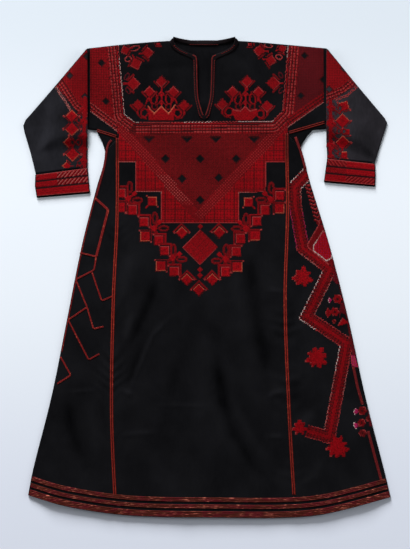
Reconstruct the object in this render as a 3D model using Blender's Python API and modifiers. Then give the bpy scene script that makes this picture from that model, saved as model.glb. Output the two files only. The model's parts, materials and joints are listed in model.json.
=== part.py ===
"""An embroidered long-sleeved dress, laid flat with its front up.

Frame: +X to the right and +Y towards the neck as one looks down on the front, +Z up.
The origin is on the table, under the middle of the dress. Sizes are in millimetres and
become metres where a mesh is made. "Left" and "right" are those of the onlooker.

Each piece of cloth is an open surface, its outer face, thickened inwards by Solidify.
The front and the back lie on each other, so every section is a flat tube LAID high.
"""

import math
from bisect import bisect_right
from collections import namedtuple

import bmesh
import bpy
from mathutils import Vector

MM = 0.001

# ---- driving sizes, in millimetres ----------------------------------------------------
WALL = 1.5  # cotton with its embroidery threads
CUFF_WALL = 1.6  # the cuff is stitched all over
BRAID_WALL = 1.1  # couched cord on a seam or along the hem
BINDING_WALL = 1.3  # folded strip round the neck
REST_AIR = 2.2  # air between front and back where they lie on each other
LAID = 2 * WALL + REST_AIR  # height of two layers
MID = LAID / 2
GAP = 0.3  # between two pieces at a seam
LIFT = 0.4  # between a trim and the cloth that it lies on

SKIRT_LIFT = 2.4  # the skirt's front stands a little off its back
HEM_LIFT = 3.2  # the stiff hem stands higher still
HEM_WAVES = 2.5  # waves of that lift across the hem
HEM_RISE_DEPTH = 130.0  # how far up the skirt the hem's lift reaches
SIDE_FADE = 75.0  # the lift dies out this close to a folded side
CHEST_FLAT = 130.0  # above this height the stiff embroidered chest lies flat

BRAID_WIDTH = 7.5
SLEEVE_HEIGHT = 5.0  # two layers of sleeve
PLEAT_HEIGHT = 3.3  # the two hidden layers inside a sleeve's fold
STACK = LAID + PLEAT_HEIGHT + 2 * GAP  # what the forearm lies on, at its fold
DRAPE_CLEAR = 11.0  # it stays up until it is this far past the stack
DRAPE = 46.0  # and comes down to the table over this distance
CUFF_DROP = 3.5  # the cuff's back layer shows this much below its front

# ---- plan outlines --------------------------------------------------------------------
Place = namedtuple("Place", "x y")
Edge = namedtuple("Edge", "y left right")
Turn = namedtuple("Turn", "inset share")
Crease = namedtuple("Crease", "x0 y0 x1 y1 width height")

# The folded sides of the skirt, from the hem's corners up to the armpits.
SIDES = (
    Edge(-640, -523.0, 536.0),
    Edge(-562, -508.0, 517.0),
    Edge(-343, -453.0, 461.0),
    Edge(-124, -409.0, 413.0),
    Edge(95, -365.0, 357.0),
    Edge(267, -321.0, 304.0),
    Edge(330, -302.0, 286.0),
    Edge(374, -297.0, 272.0),
)
# The seams between the front or back panel and what is sewn to its sides.
SEAMS = (
    Edge(-690, -266.0, 257.0),
    Edge(-400, -278.0, 240.0),
    Edge(-70, -273.0, 228.0),
    Edge(180, -262.0, 235.0),
    Edge(420, -261.0, 233.0),
    Edge(700, -258.0, 237.0),
)
HEM = (
    Place(-523, -635),
    Place(-416, -666),
    Place(-286, -688),
    Place(-173, -697),
    Place(38, -700),
    Place(239, -700),
    Place(352, -688),
    Place(536, -641),
)
SHOULDERS = (
    Place(-348, 668.7),
    Place(-225, 682.0),
    Place(-96, 691.0),
    Place(80, 691.0),
    Place(237, 679.0),
    Place(348, 668.7),
)
# The skirt's top: the gores' slanting heads on either side of the armpits' level.
SKIRT_TOP = (Place(-297, 368), Place(-261, 405), Place(233, 419), Place(272, 376))

# Turning the cloth over at a fold: how far in from the fold, and the share of the half
# height reached there. A panel's own edge starts upright, so that two panels' walls meet.
EDGE_TURN = (Turn(0.0, GAP / LAID), Turn(0.0, 0.42), Turn(1.3, 0.8), Turn(4.5, 1.0))
FOLD_TURN = (Turn(0.0, 0.0), Turn(1.6, 0.62), Turn(4.5, 1.0))
TURN_WIDTH = 4.5

# The hem's three couched bands, as distances up from the hem's edge.
HEM_BANDS = ((0.0, 19.0), (25.5, 37.5), (44.0, 57.0))
SKIRT_LENGTH = 1094.0  # hem to armpit along a seam

# The neck opening and the binding round it, as half widths from the neck's middle.
NECK_X = -8.0
NeckRow = namedtuple("NeckRow", "inner inner_y outer outer_y inner_rise outer_rise")
NECK = (
    NeckRow(0.3, 470.0, 0.3, 457.0, 0.0, 0.0),
    NeckRow(4.0, 481.0, 15.0, 470.0, 0.0, 0.0),
    NeckRow(8.0, 492.0, 20.0, 488.0, 0.0, 0.0),
    NeckRow(16.5, 527.0, 28.5, 526.0, 0.0, 0.0),
    NeckRow(19.0, 577.0, 31.0, 577.0, 0.0, 0.0),
    NeckRow(20.0, 625.0, 32.0, 622.0, 0.0, 0.0),
    NeckRow(21.5, 643.0, 33.5, 632.0, 0.0, 0.0),
    NeckRow(27.0, 649.0, 38.0, 637.5, 0.0, 0.0),
    NeckRow(49.0, 657.0, 54.0, 645.5, 0.3, 0.0),
    NeckRow(66.0, 665.0, 73.0, 654.0, 1.0, 0.2),
    NeckRow(78.0, 673.0, 88.0, 664.0, 2.4, 0.5),
    NeckRow(85.5, 682.0, 97.0, 676.0, 4.4, 1.0),
    NeckRow(88.3, 692.0, 100.5, 687.0, 6.4, 1.9),
    NeckRow(87.0, 702.0, 98.0, 692.5, 7.4, 2.8),
)
# The back of the binding, standing on the back panel's upper edge: half width, upper
# edge, and height of its outer face.
BandRow = namedtuple("BandRow", "half y z")
BACK_BAND = (
    BandRow(83.0, 700.5, 10.5),
    BandRow(72.0, 698.0, 7.6),
    BandRow(54.0, 694.5, 5.4),
    BandRow(28.0, 691.0, 4.5),
    BandRow(0.0, 689.5, 4.4),
)
BACK_BAND_WIDTH = 13.0

# Soft troughs (height below 0) and ridges of the skirt's front.
CREASES = (
    Crease(-166, 60, -254, -95, 25, 2.4),
    Crease(-166, -36, -225, -197, 20, 2.8),
    Crease(-140, -30, -196, -215, 17, -2.2),
    Crease(-101, -139, -203, -248, 13, 1.8),
    Crease(-44, -101, -108, -466, 30, -2.2),
    Crease(15, -80, 23, -560, 55, 2.0),
    Crease(120, 50, 155, -285, 28, -2.6),
    Crease(58, -358, 190, -600, 22, -3.0),
    Crease(104, -350, 228, -590, 20, 2.2),
    Crease(-409, -328, -352, -560, 26, -2.2),
    Crease(-304, -328, -280, -504, 22, -1.6),
    Crease(330, -120, 372, -480, 34, 1.8),
)

# ---- sleeves --------------------------------------------------------------------------
# A sleeve runs out from the panel's side, folds back under itself along `fold_x`, and
# its forearm lies over the fold, turned down towards the cuff.
Sleeve = namedtuple(
    "Sleeve",
    "side fold_x top tuck armpit_seam hidden_seam outline forearm_outer forearm_inner cuff",
)
CuffEdge = namedtuple("CuffEdge", "outer inner")
LEFT_SLEEVE = Sleeve(
    side=-1,
    fold_x=-347.5,
    top=Place(-347.5, 668.0),
    tuck=Place(-424.0, 424.0),
    armpit_seam=(Place(-262.0, 409.0), Place(-321.0, 429.0), Place(-347.5, 432.0)),
    hidden_seam=Place(-424.0, 424.0),
    outline=(Place(-321, 426.0), Place(-304.0, 391.0), Place(-297.0, 370.0)),
    forearm_outer=(
        Place(-360.5, 655.0),
        Place(-410.0, 598.0),
        Place(-470.0, 528.0),
        Place(-530.0, 459.0),
        Place(-536.4, 443.0),
        Place(-533.0, 425.0),
        Place(-515.0, 365.0),
        Place(-499.5, 301.0),
    ),
    forearm_inner=(
        Place(-347.5, 661.0),
        Place(-347.5, 604.0),
        Place(-347.5, 541.0),
        Place(-347.5, 478.0),
        Place(-347.5, 452.0),
        Place(-347.5, 430.0),
        Place(-348.5, 375.0),
        Place(-349.0, 321.0),
    ),
    cuff=(
        CuffEdge(Place(-501.0, 300.5), Place(-348.0, 320.5)),
        CuffEdge(Place(-502.5, 268.0), Place(-345.0, 285.0)),
        CuffEdge(Place(-497.0, 236.0), Place(-341.0, 249.0)),
    ),
)
RIGHT_SLEEVE = Sleeve(
    side=1,
    fold_x=347.5,
    top=Place(347.5, 668.0),
    tuck=Place(424.0, 424.0),
    armpit_seam=(Place(236.0, 422.0), Place(300.0, 438.0), Place(347.5, 454.0)),
    hidden_seam=Place(424.0, 446.0),
    outline=(
        Place(352, 434.0),
        Place(309.0, 430.0),
        Place(287.0, 407.0),
        Place(273.0, 378.0),
    ),
    forearm_outer=(
        Place(360.5, 655.0),
        Place(405.0, 601.0),
        Place(460.0, 535.0),
        Place(519.0, 465.0),
        Place(526.0, 452.0),
        Place(522.0, 436.0),
        Place(505.0, 384.0),
        Place(489.5, 333.0),
    ),
    forearm_inner=(
        Place(347.5, 661.0),
        Place(347.5, 606.0),
        Place(347.5, 545.0),
        Place(347.5, 482.0),
        Place(347.5, 458.0),
        Place(347.5, 436.0),
        Place(348.5, 390.0),
        Place(351.0, 348.0),
    ),
    cuff=(
        CuffEdge(Place(490.5, 332.5), Place(350.5, 347.5)),
        CuffEdge(Place(492.0, 299.0), Place(345.5, 313.0)),
        CuffEdge(Place(490.5, 268.0), Place(341.0, 281.0)),
    ),
)
SLEEVES = {"left": LEFT_SLEEVE, "right": RIGHT_SLEEVE}
FOREARM_CREASES = {
    "left": (Crease(-490, 470, -470, 330, 20, 1.6), Crease(-430, 520, -425, 340, 16, -0.7)),
    "right": (Crease(400, 430, 425, 350, 16, -0.7), Crease(455, 500, 450, 360, 24, 1.6)),
}

# ---- how finely each piece is divided -------------------------------------------------
PANEL_COLUMNS = 15
GORE_COLUMNS = 5
SKIRT_ROWS = 22
YOKE_ROWS = 8
BACK_COLUMNS = 5
BACK_ROWS = 12
SLEEVE_STATIONS = 6
TUBE_COLUMNS = 6
GUSSET_ROWS = 5

BLACK_COTTON = ("black_cotton", (0.012, 0.013, 0.016), 0.82)
STITCHED_CUFF = ("stitched_cuff", (0.30, 0.010, 0.018), 0.70)
COUCHED_BRAID = ("couched_braid", (0.38, 0.040, 0.015), 0.55)
NECK_BINDING = ("neck_binding", (0.016, 0.014, 0.018), 0.78)


# ---- small helpers --------------------------------------------------------------------
def smooth(t):
    """Eases from 0 to 1 as t goes from 0 to 1."""
    t = min(max(t, 0.0), 1.0)
    return t * t * (3.0 - 2.0 * t)


def mix(a, b, t):
    return a + (b - a) * t


def mix_places(a, b, t):
    return Place(mix(a.x, b.x, t), mix(a.y, b.y, t))


def straight_through(pairs, value):
    """The ordinate at `value` on the broken line through (abscissa, ordinate) pairs."""
    places = [pair[0] for pair in pairs]
    i = min(max(bisect_right(places, value) - 1, 0), len(pairs) - 2)
    (a, low), (b, high) = pairs[i], pairs[i + 1]
    return mix(low, high, (value - a) / (b - a))


def curved_through(pairs, value):
    """The same through a smooth curve, with a Catmull-Rom slope at each point."""
    places = [pair[0] for pair in pairs]
    last = len(pairs) - 1
    value = min(max(value, places[0]), places[-1])
    i = min(max(bisect_right(places, value) - 1, 0), last - 1)

    def slope(k):
        before, after = pairs[max(k - 1, 0)], pairs[min(k + 1, last)]
        return (after[1] - before[1]) / (after[0] - before[0])

    step = places[i + 1] - places[i]
    t = (value - places[i]) / step
    start, end = pairs[i][1], pairs[i + 1][1]
    return (
        start * (1 + 2 * t) * (1 - t) ** 2
        + end * t * t * (3 - 2 * t)
        + step * slope(i) * t * (1 - t) ** 2
        - step * slope(i + 1) * t * t * (1 - t)
    )


def side_x(side, y):
    """The skirt's folded side at height y; side is -1 for the left and 1 for the right."""
    return curved_through([(e.y, e.left if side < 0 else e.right) for e in SIDES], y)


def seam_x(side, y):
    return curved_through([(e.y, e.left if side < 0 else e.right) for e in SEAMS], y)


def hem_y(x):
    return curved_through(HEM, x)


def shoulder_y(x):
    return curved_through(SHOULDERS, x)


def skirt_top_y(x):
    return straight_through(SKIRT_TOP, x)


def even(count):
    """The shares 0 to 1 in `count` equal steps."""
    return [k / count for k in range(count + 1)]


# ---- the front's relief ---------------------------------------------------------------
def crease_height(creases, x, y):
    """Sum of the soft ridges and troughs: a rounded profile across, fading at the ends."""
    total = 0.0
    for c in creases:
        along_x, along_y = c.x1 - c.x0, c.y1 - c.y0
        length = math.hypot(along_x, along_y)
        t = ((x - c.x0) * along_x + (y - c.y0) * along_y) / length**2
        across = ((x - c.x0) * along_y - (y - c.y0) * along_x) / length
        ends = smooth((t + 0.25) / 0.5) * smooth((1.25 - t) / 0.5)
        total += c.height * ends * math.exp(-((across / c.width) ** 2))
    return total


def front_z(x, y):
    """Height of the front's outer face: flat on the chest, lifted and creased below it."""
    to_side = min(x - side_x(-1, y), side_x(1, y) - x)
    spread = smooth(to_side / SIDE_FADE)
    skirt = spread * smooth((CHEST_FLAT - y) / 160.0)
    wave = 0.75 + 0.25 * math.cos(2 * math.pi * HEM_WAVES * x / 1000.0 + 0.6)
    hem = spread * (1 - smooth((y - hem_y(x)) / HEM_RISE_DEPTH)) * wave
    return LAID + skirt * (SKIRT_LIFT + crease_height(CREASES, x, y)) + hem * HEM_LIFT


def layer_z(layer, x, y, share):
    """Height of a layer's outer face where it has turned `share` of the way off a fold."""
    if layer == "front":
        return mix(MID, front_z(x, y), share)
    return MID * (1.0 - share)


# ---- making solids --------------------------------------------------------------------
def material(kind):
    name, colour, roughness = kind
    made = bpy.data.materials.get(name)
    if made is None:
        made = bpy.data.materials.new(name)
        made.use_nodes = True
        shader = made.node_tree.nodes["Principled BSDF"]
        shader.inputs["Base Color"].default_value = (*colour, 1.0)
        shader.inputs["Roughness"].default_value = roughness
        shader.inputs["Metallic"].default_value = 0.0
    return made


def collection(name):
    made = bpy.data.collections.new(name)
    bpy.context.scene.collection.children.link(made)
    return made


def add_object(name, mesh, group, kind):
    """Wraps a bmesh as a named, smooth-shaded object of one material.

    Its origin is on the table under the middle of the piece, and it is parented to the
    dress's own empty.
    """
    spread = [[getattr(vertex.co, axis) for vertex in mesh.verts] for axis in "xy"]
    middle = Vector([(min(values) + max(values)) / 2 for values in spread] + [0.0])
    bmesh.ops.translate(mesh, verts=mesh.verts, vec=-middle)
    data = bpy.data.meshes.new(name)
    mesh.to_mesh(data)
    mesh.free()
    data.materials.append(material(kind))
    data.shade_smooth()
    data.set_sharp_from_angle(angle=math.radians(50))
    obj = bpy.data.objects.new(name, data)
    obj.location = middle
    obj.parent = bpy.data.objects["dress_origin"]
    group.objects.link(obj)
    return obj


def grid_of(rows, closed):
    """A bmesh grid through `rows` of points in millimetres; closed joins its two sides."""
    across, up = len(rows[0]) - 1, len(rows) - 1
    mesh = bmesh.new()
    bmesh.ops.create_grid(mesh, x_segments=across, y_segments=up, size=1.0)
    for vertex in mesh.verts:
        i = round((vertex.co.x + 1.0) / 2.0 * across)
        j = round((vertex.co.y + 1.0) / 2.0 * up)
        vertex.co = Vector(rows[j][i]) * MM
    if closed:
        bmesh.ops.remove_doubles(mesh, verts=mesh.verts, dist=1e-6)
    return mesh


def cloth(name, group, rows, wall, kind, closed=False):
    """A grid through `rows`, thickened inwards by `wall`.

    With u along a row and v from row to row, the outer face is on the side of u x v.
    """
    obj = add_object(name, grid_of(rows, closed), group, kind)
    solidify = obj.modifiers.new("wall", "SOLIDIFY")
    solidify.thickness = wall * MM
    solidify.offset = -1.0
    solidify.use_even_offset = True
    solidify.use_quality_normals = True
    return obj


def neck_cutter(group):
    """A block of the neck opening's outline, wide open above the shoulders."""
    half = [(row.inner, row.inner_y) for row in NECK]
    half.append((half[-1][0], 730.0))
    left = [(NECK_X - x, y) for x, y in half]
    right = [(NECK_X + x, y) for x, y in reversed(half)]
    mesh = bmesh.new()
    outline = mesh.faces.new([mesh.verts.new((x * MM, y * MM, -0.01)) for x, y in left + right])
    raised = bmesh.ops.extrude_face_region(mesh, geom=[outline])
    tops = [item for item in raised["geom"] if isinstance(item, bmesh.types.BMVert)]
    bmesh.ops.translate(mesh, verts=tops, vec=(0.0, 0.0, 0.05))
    bmesh.ops.recalc_face_normals(mesh, faces=mesh.faces)
    cutter = add_object("neck_cutter", mesh, group, BLACK_COTTON)
    cutter.hide_render = True
    cutter.display_type = "WIRE"
    return cutter


# ---- skirt and body panels ------------------------------------------------------------
def skirt_shares():
    """Rows of the skirt from hem to armpit: the bands' edges, then even steps."""
    edges = [distance / SKIRT_LENGTH for band in HEM_BANDS for distance in band]
    return edges + [mix(edges[-1], 1.0, k / SKIRT_ROWS) for k in range(1, SKIRT_ROWS + 1)]


def skirt_y(x, share):
    return mix(hem_y(x), skirt_top_y(x), share)


def settle(x_at, y_at):
    """The point where a column and a row of the curved grid cross."""
    y = y_at(0.0)
    for _ in range(4):
        x = x_at(y)
        y = y_at(x)
    return x, y


def panel_row(layer, columns, y_at, share=1.0):
    """One row of a front or back panel, between the two seams."""
    row = []
    for column in columns:

        def x_at(y, column=column):
            return mix(seam_x(-1, y) + GAP / 2, seam_x(1, y) - GAP / 2, column)

        x, y = settle(x_at, y_at)
        row.append((x, y, layer_z(layer, x, y, share)))
    return row


def body_rows(layer, columns, skirt, yoke_rows):
    """Rows of a whole panel from the hem over the skirt and yoke to the shoulder fold."""
    rows = [
        panel_row(layer, columns, lambda x, s=share: skirt_y(x, s)) for share in skirt
    ]
    for k in range(1, yoke_rows + 1):

        def yoke_y(x, t=k / yoke_rows):
            return mix(skirt_top_y(x), shoulder_y(x) - TURN_WIDTH, t)

        rows.append(panel_row(layer, columns, yoke_y))
    for turn in EDGE_TURN[-2::-1]:

        def fold_y(x, inset=turn.inset):
            return shoulder_y(x) - inset

        rows.append(panel_row(layer, columns, fold_y, turn.share))
    return rows


def front_panel(group, cutters):
    """The front in two nodes: the skirt's length, and the yoke that holds the neck opening."""
    rows = body_rows("front", even(PANEL_COLUMNS), skirt_shares(), YOKE_ROWS)
    top = len(skirt_shares()) - 1
    cloth("front_panel", group, rows[: top + 1], WALL, BLACK_COTTON)
    lowest = [(x, y + GAP, z) for x, y, z in rows[top]]
    yoke = cloth("front_yoke", group, [lowest, *rows[top + 1 :]], WALL, BLACK_COTTON)
    opening = yoke.modifiers.new("neck", "BOOLEAN")
    opening.operation = "DIFFERENCE"
    opening.solver = "EXACT"
    opening.object = neck_cutter(cutters)


def back_panel(group):
    columns = list(reversed(even(BACK_COLUMNS)))
    rows = body_rows("back", columns, even(BACK_ROWS), 4)
    cloth("back_panel", group, rows, WALL, BLACK_COTTON)


def gore_columns(side, count):
    """(share across, inset, height share) from the folded side to the panel's seam."""
    turned = [(0.0, turn.inset, turn.share) for turn in EDGE_TURN]
    return turned + [(k / count, TURN_WIDTH, 1.0) for k in range(1, count + 1)]


def gore_point(side, layer, column, share):
    """A gore's point: columns run from the folded side to the seam, rows from the hem."""
    across, inset, height = column

    def x_at(y):
        fold = side_x(side, y) - side * inset
        return mix(fold, seam_x(side, y) + side * GAP / 2, across)

    x, y = settle(x_at, lambda x: skirt_y(x, share))
    return x, y, layer_z(layer, x, y, height)


def gore(side, layer, group):
    """Half of a side gore: one wedge from the armpit to the hem, folded-edge outwards."""
    shares = skirt_shares() if layer == "front" else even(BACK_ROWS)
    count = GORE_COLUMNS if layer == "front" else 2
    columns = gore_columns(side, count)
    if (side > 0) == (layer == "front"):
        columns.reverse()
    name = f"{layer}_gore_{'left' if side < 0 else 'right'}"
    rows = [[gore_point(side, layer, c, s) for c in columns] for s in shares]
    cloth(name, group, rows, WALL, BLACK_COTTON)


# ---- flat tubes: sleeves, forearms and cuffs ------------------------------------------
def tube_ring(width):
    """(distance from the first edge, height share) round a flat tube of that width."""
    fit = min(1.0, width / (4 * TURN_WIDTH))
    near = [(t.inset * fit, t.share) for t in FOLD_TURN]
    inner = TURN_WIDTH * fit
    top = [(mix(inner, width - inner, t), 1.0) for t in even(TUBE_COLUMNS)[1:-1]]
    bottom = [(d, 0.0) for d, _ in reversed(top)]
    first_down = [(d, 0.5 - s / 2) for d, s in reversed(near)]
    first_up = [(d, 0.5 + s / 2) for d, s in near[1:]]
    last_down = [(width - d, 0.5 + s / 2) for d, s in reversed(near)]
    last_up = [(width - d, 0.5 - s / 2) for d, s in near[1:]]
    ring = first_down + first_up + top + last_down + last_up + bottom
    return ring + ring[:1]


def tube_row(first, last, under, height, relief=None, drop=0.0):
    """One ring of a flat tube between two edge points, lying at under(x, y)."""
    width = math.hypot(last.x - first.x, last.y - first.y)
    row = []
    for distance, share in tube_ring(width):
        place = mix_places(first, last, distance / width)
        z = under(place.x, place.y) + share * height
        if relief is not None:
            z += relief(place.x, place.y) * share * smooth(min(distance, width - distance) / 25)
        row.append((place.x, place.y - drop * (1 - share), z))
    return row


def sleeve_head(name, sleeve, group):
    """The stretch from the panel's seam out to the fold and on to the hidden tuck."""
    seam = sleeve.armpit_seam
    clear = 2 * GAP * sleeve.side
    rows = []
    for t in even(SLEEVE_STATIONS):
        x = mix(seam_x(sleeve.side, 680.0) + clear, sleeve.fold_x - sleeve.side, t)
        bottom = mix(seam_x(sleeve.side, seam[0].y) + clear, seam[2].x, t)
        low = straight_through([(sleeve.side * p.x, p.y) for p in seam], sleeve.side * bottom)
        rows.append((Place(x, shoulder_y(x)), Place(bottom, low)))
    for t in (0.35, 0.7, 1.0):
        upper = Place(sleeve.fold_x + sleeve.side * 2 * t, sleeve.top.y - 2 * t)
        rows.append((upper, mix_places(seam[2], sleeve.hidden_seam, t)))
    if sleeve.side < 0:
        rows.reverse()
    rings = [tube_row(top, low, lambda x, y: 0.0, LAID) for top, low in rows]
    cloth(name, group, rings, WALL, BLACK_COTTON, closed=True)


def fold_corners(sleeve):
    return (sleeve.top, Place(sleeve.fold_x, sleeve.armpit_seam[2].y), sleeve.tuck)


def beyond(corners, x, y):
    """How far a point is outside a triangle, measured from its nearest side's line."""
    middle = Place(sum(c.x for c in corners) / 3, sum(c.y for c in corners) / 3)
    reach = -1e9
    for a, b in zip(corners, corners[1:] + corners[:1]):
        length = math.hypot(b.x - a.x, b.y - a.y)
        out = ((x - a.x) * (b.y - a.y) - (y - a.y) * (b.x - a.x)) / length
        inside = (middle.x - a.x) * (b.y - a.y) - (middle.y - a.y) * (b.x - a.x)
        reach = max(reach, out if inside < 0 else -out)
    return reach


def forearm(name, sleeve, group):
    """The stretch below the fold, from its pointed top down to the cuff."""
    corners = fold_corners(sleeve)
    creases = FOREARM_CREASES[name.split("_")[1]]

    def under(x, y):
        return STACK * (1 - smooth((beyond(corners, x, y) - DRAPE_CLEAR) / DRAPE))

    def relief(x, y):
        return crease_height(creases, x, y)

    pairs = zip(with_halves(sleeve.forearm_outer[::-1]), with_halves(sleeve.forearm_inner[::-1]))
    rings = []
    for outer, inner in pairs:
        first, last = (outer, inner) if sleeve.side < 0 else (inner, outer)
        rings.append(tube_row(first, last, under, SLEEVE_HEIGHT, relief))
    cloth(name, group, rings, WALL, BLACK_COTTON, closed=True)


def with_halves(places):
    """The places with one more halfway between each two."""
    filled = [places[0]]
    for a, b in zip(places, places[1:]):
        filled += [mix_places(a, b, 0.5), b]
    return filled


def cuff(name, sleeve, group):
    """The stitched band at the wrist; its back layer shows a little below its front."""
    rings = []
    for k, edge in enumerate(reversed(sleeve.cuff)):
        first, last = (edge.outer, edge.inner) if sleeve.side < 0 else (edge.inner, edge.outer)
        drop = CUFF_DROP * (2 - k) / 2
        shrink = GAP if k == 2 else 0.0
        first, last = Place(first.x, first.y - shrink), Place(last.x, last.y - shrink)
        rings.append(tube_row(first, last, lambda x, y: 0.0, LAID + 0.4, None, drop))
    cloth(name, group, rings, CUFF_WALL, STITCHED_CUFF, closed=True)


def sleeve_fold(name, sleeve, group):
    """The two hidden layers inside the fold, as one slab grooved between its layers."""
    corners = [Vector((c.x, c.y, 0.0)) for c in fold_corners(sleeve)]
    sides = [(corners[1] - corners[2]).length, (corners[2] - corners[0]).length]
    sides.append((corners[0] - corners[1]).length)
    around = sum(sides)
    centre = sum((c * s for c, s in zip(corners, sides)), Vector()) / around
    inner_radius = (corners[1] - corners[0]).cross(corners[2] - corners[0]).length / around
    profile = (  # height share, inset
        (0.0, 2.4),
        (0.12, 1.8),
        (0.42, 1.8),
        (0.5, 2.8),
        (0.58, 1.8),
        (0.88, 1.8),
        (1.0, 2.4),
    )
    rings = []
    for share, inset in profile:
        scale = 1 - inset / inner_radius
        level = Vector((0.0, 0.0, LAID + GAP + share * PLEAT_HEIGHT))
        ring = [tuple(centre + (c - centre) * scale + level) for c in corners]
        rings.append(ring + ring[:1])
    mesh = grid_of(rings, closed=True)
    bmesh.ops.holes_fill(mesh, edges=mesh.edges)
    bmesh.ops.recalc_face_normals(mesh, faces=mesh.faces)
    add_object(name, mesh, group, BLACK_COTTON)


# ---- gussets, braids and the neck's binding -------------------------------------------
def along(places, t):
    """The point at share t of a broken line's length."""
    lengths = [math.hypot(b.x - a.x, b.y - a.y) for a, b in zip(places, places[1:])]
    travel = t * sum(lengths)
    for a, b, length in zip(places, places[1:], lengths):
        if travel <= length or b is places[-1]:
            return mix_places(a, b, travel / length)
        travel -= length


def beside_gore(side):
    """Both ends of a gusset's edge along a gore's slanting head, the fold's end first."""
    low, high = SKIRT_TOP[:2] if side < 0 else SKIRT_TOP[:1:-1]
    length = math.hypot(high.x - low.x, high.y - low.y)
    across = side * (high.y - low.y) / length
    up = abs(high.x - low.x) / length
    return [Place(p.x + 2 * GAP * across, p.y + 2 * GAP * up) for p in (low, high)]


def gusset(name, sleeve, group):
    """The small piece let in under the arm, folded along the armpit's outline."""
    head = [Place(p.x, p.y - 3 * GAP) for p in sleeve.armpit_seam]
    seam_start = head[2] if sleeve.side > 0 else mix_places(head[1], head[0], 0.25)
    inner = (seam_start, head[1], head[0]) if sleeve.side > 0 else (seam_start, head[0])
    last_outer, last_end = beside_gore(sleeve.side)
    outline = (*sleeve.outline[:-1], last_outer)
    turned = [(0.5, t.inset, 0.5 + t.share / 2) for t in FOLD_TURN]
    section = [(1.0, 0.0, 0.0), (0.5, 0.0, 0.0)]
    section += [(0.0, inset, 1 - height) for _, inset, height in reversed(turned)]
    section += [(0.0, inset, height) for _, inset, height in turned[1:]]
    section += [(0.5, 0.0, 1.0), (1.0, 0.0, 1.0)]
    rows = []
    per_row = 1 / (GUSSET_ROWS - 1)
    for k, t in enumerate(even(GUSSET_ROWS)):
        outer = along(outline, t)
        end = along(inner, k * per_row) if t < 1 else last_end
        width = math.hypot(end.x - outer.x, end.y - outer.y)
        row = []
        for across, inset, height in section:
            share = across if across else inset / width
            place = mix_places(outer, end, share)
            row.append((place.x, place.y, height * LAID))
        rows.append(row)
    if sleeve.side < 0:
        rows.reverse()
    cloth(name, group, rows, WALL, BLACK_COTTON)


def seam_braid(name, side, group):
    """Couched cord over the seam between the front panel and a gore."""
    rows = []
    for share in skirt_shares()[5:]:
        row = []
        for offset in (-BRAID_WIDTH / 2, BRAID_WIDTH / 2):
            x, y = settle(lambda y: seam_x(side, y), lambda x: skirt_y(x, share))
            top = front_z(x + offset, y) + LIFT + BRAID_WALL
            row.append((x + offset, y, top))
        rows.append(row)
    rows[0] = [(x, y + GAP, z) for x, y, z in rows[0]]
    cloth(name, group, rows, BRAID_WALL, COUCHED_BRAID)


def hem_braid(name, band, group):
    """One of the hem's couched bands, over both gores and the panel, on their own points."""
    shares = skirt_shares()[2 * band : 2 * band + 2]
    left = gore_columns(-1, GORE_COLUMNS)[3:-1]
    right = gore_columns(1, GORE_COLUMNS)[-2:2:-1]
    rows = []
    for share in shares:
        row = [gore_point(-1, "front", column, share) for column in left]
        row += panel_row("front", even(PANEL_COLUMNS), lambda x, s=share: skirt_y(x, s))
        row += [gore_point(1, "front", column, share) for column in right]
        rows.append([(x, y, z + LIFT + BRAID_WALL) for x, y, z in row])
    cloth(name, group, rows, BRAID_WALL, COUCHED_BRAID)


def underarm_braid(name, sleeve, group):
    """Couched cord over the seam between a sleeve and its gusset."""
    start = mix_places(sleeve.armpit_seam[0], sleeve.armpit_seam[1], 0.1)
    end = mix_places(sleeve.armpit_seam[1], sleeve.armpit_seam[2], 0.0 if sleeve.side < 0 else 0.9)
    z = LAID + LIFT + BRAID_WALL
    across = Vector((start.y - end.y, end.x - start.x, 0.0)).normalized() * BRAID_WIDTH / 2
    middle = [Vector((p.x, p.y, z)) for p in (start, mix_places(start, end, 0.5), end)]
    rows = [[tuple(p + across), tuple(p - across)] for p in middle]
    cloth(name, group, rows, BRAID_WALL, COUCHED_BRAID)


def neck_binding(name, side, group):
    """The strip that binds one side of the slit and neckline, rising to the shoulder."""
    rows = []
    for row in NECK:
        points = []
        for half, y, rise in (
            (row.outer, row.outer_y, row.outer_rise),
            (row.inner, row.inner_y, row.inner_rise),
        ):
            points.append((NECK_X + side * half, y, LAID + LIFT + BINDING_WALL + rise))
        rows.append(points if side < 0 else points[::-1])
    cloth(name, group, rows, BINDING_WALL, NECK_BINDING)


def neck_back_band(name, group):
    """The binding's back, seen from inside the neck, on the back panel's upper edge."""
    half = [(row.half, row.y, row.z) for row in BACK_BAND]
    stations = [(NECK_X - x, y, z) for x, y, z in half]
    stations += [(NECK_X + x, y, z) for x, y, z in reversed(half[:-1])]
    low = [(x, y - BACK_BAND_WIDTH, min(z, 4.4)) for x, y, z in stations]
    cloth(name, group, [low, stations], BINDING_WALL, NECK_BINDING)


# ---- the whole dress ------------------------------------------------------------------
def build():
    for obj in list(bpy.data.objects):
        bpy.data.objects.remove(obj, do_unlink=True)
    dress = collection("dress")
    cutters = collection("cutters")
    dress.objects.link(bpy.data.objects.new("dress_origin", None))
    front_panel(dress, cutters)
    back_panel(dress)
    for side in (-1, 1):
        for layer in ("front", "back"):
            gore(side, layer, dress)
    for word, sleeve in SLEEVES.items():
        sleeve_head(f"sleeve_head_{word}", sleeve, dress)
        sleeve_fold(f"sleeve_fold_{word}", sleeve, dress)
        forearm(f"forearm_{word}", sleeve, dress)
        cuff(f"cuff_{word}", sleeve, dress)
        gusset(f"gusset_{word}", sleeve, dress)
        underarm_braid(f"underarm_braid_{word}", sleeve, dress)
        seam_braid(f"seam_braid_{word}", sleeve.side, dress)
        neck_binding(f"neck_binding_{word}", sleeve.side, dress)
    neck_back_band("neck_binding_back", dress)
    for band, word in enumerate(("lower", "middle", "upper")):
        hem_braid(f"hem_braid_{word}", band, dress)


build()
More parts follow.
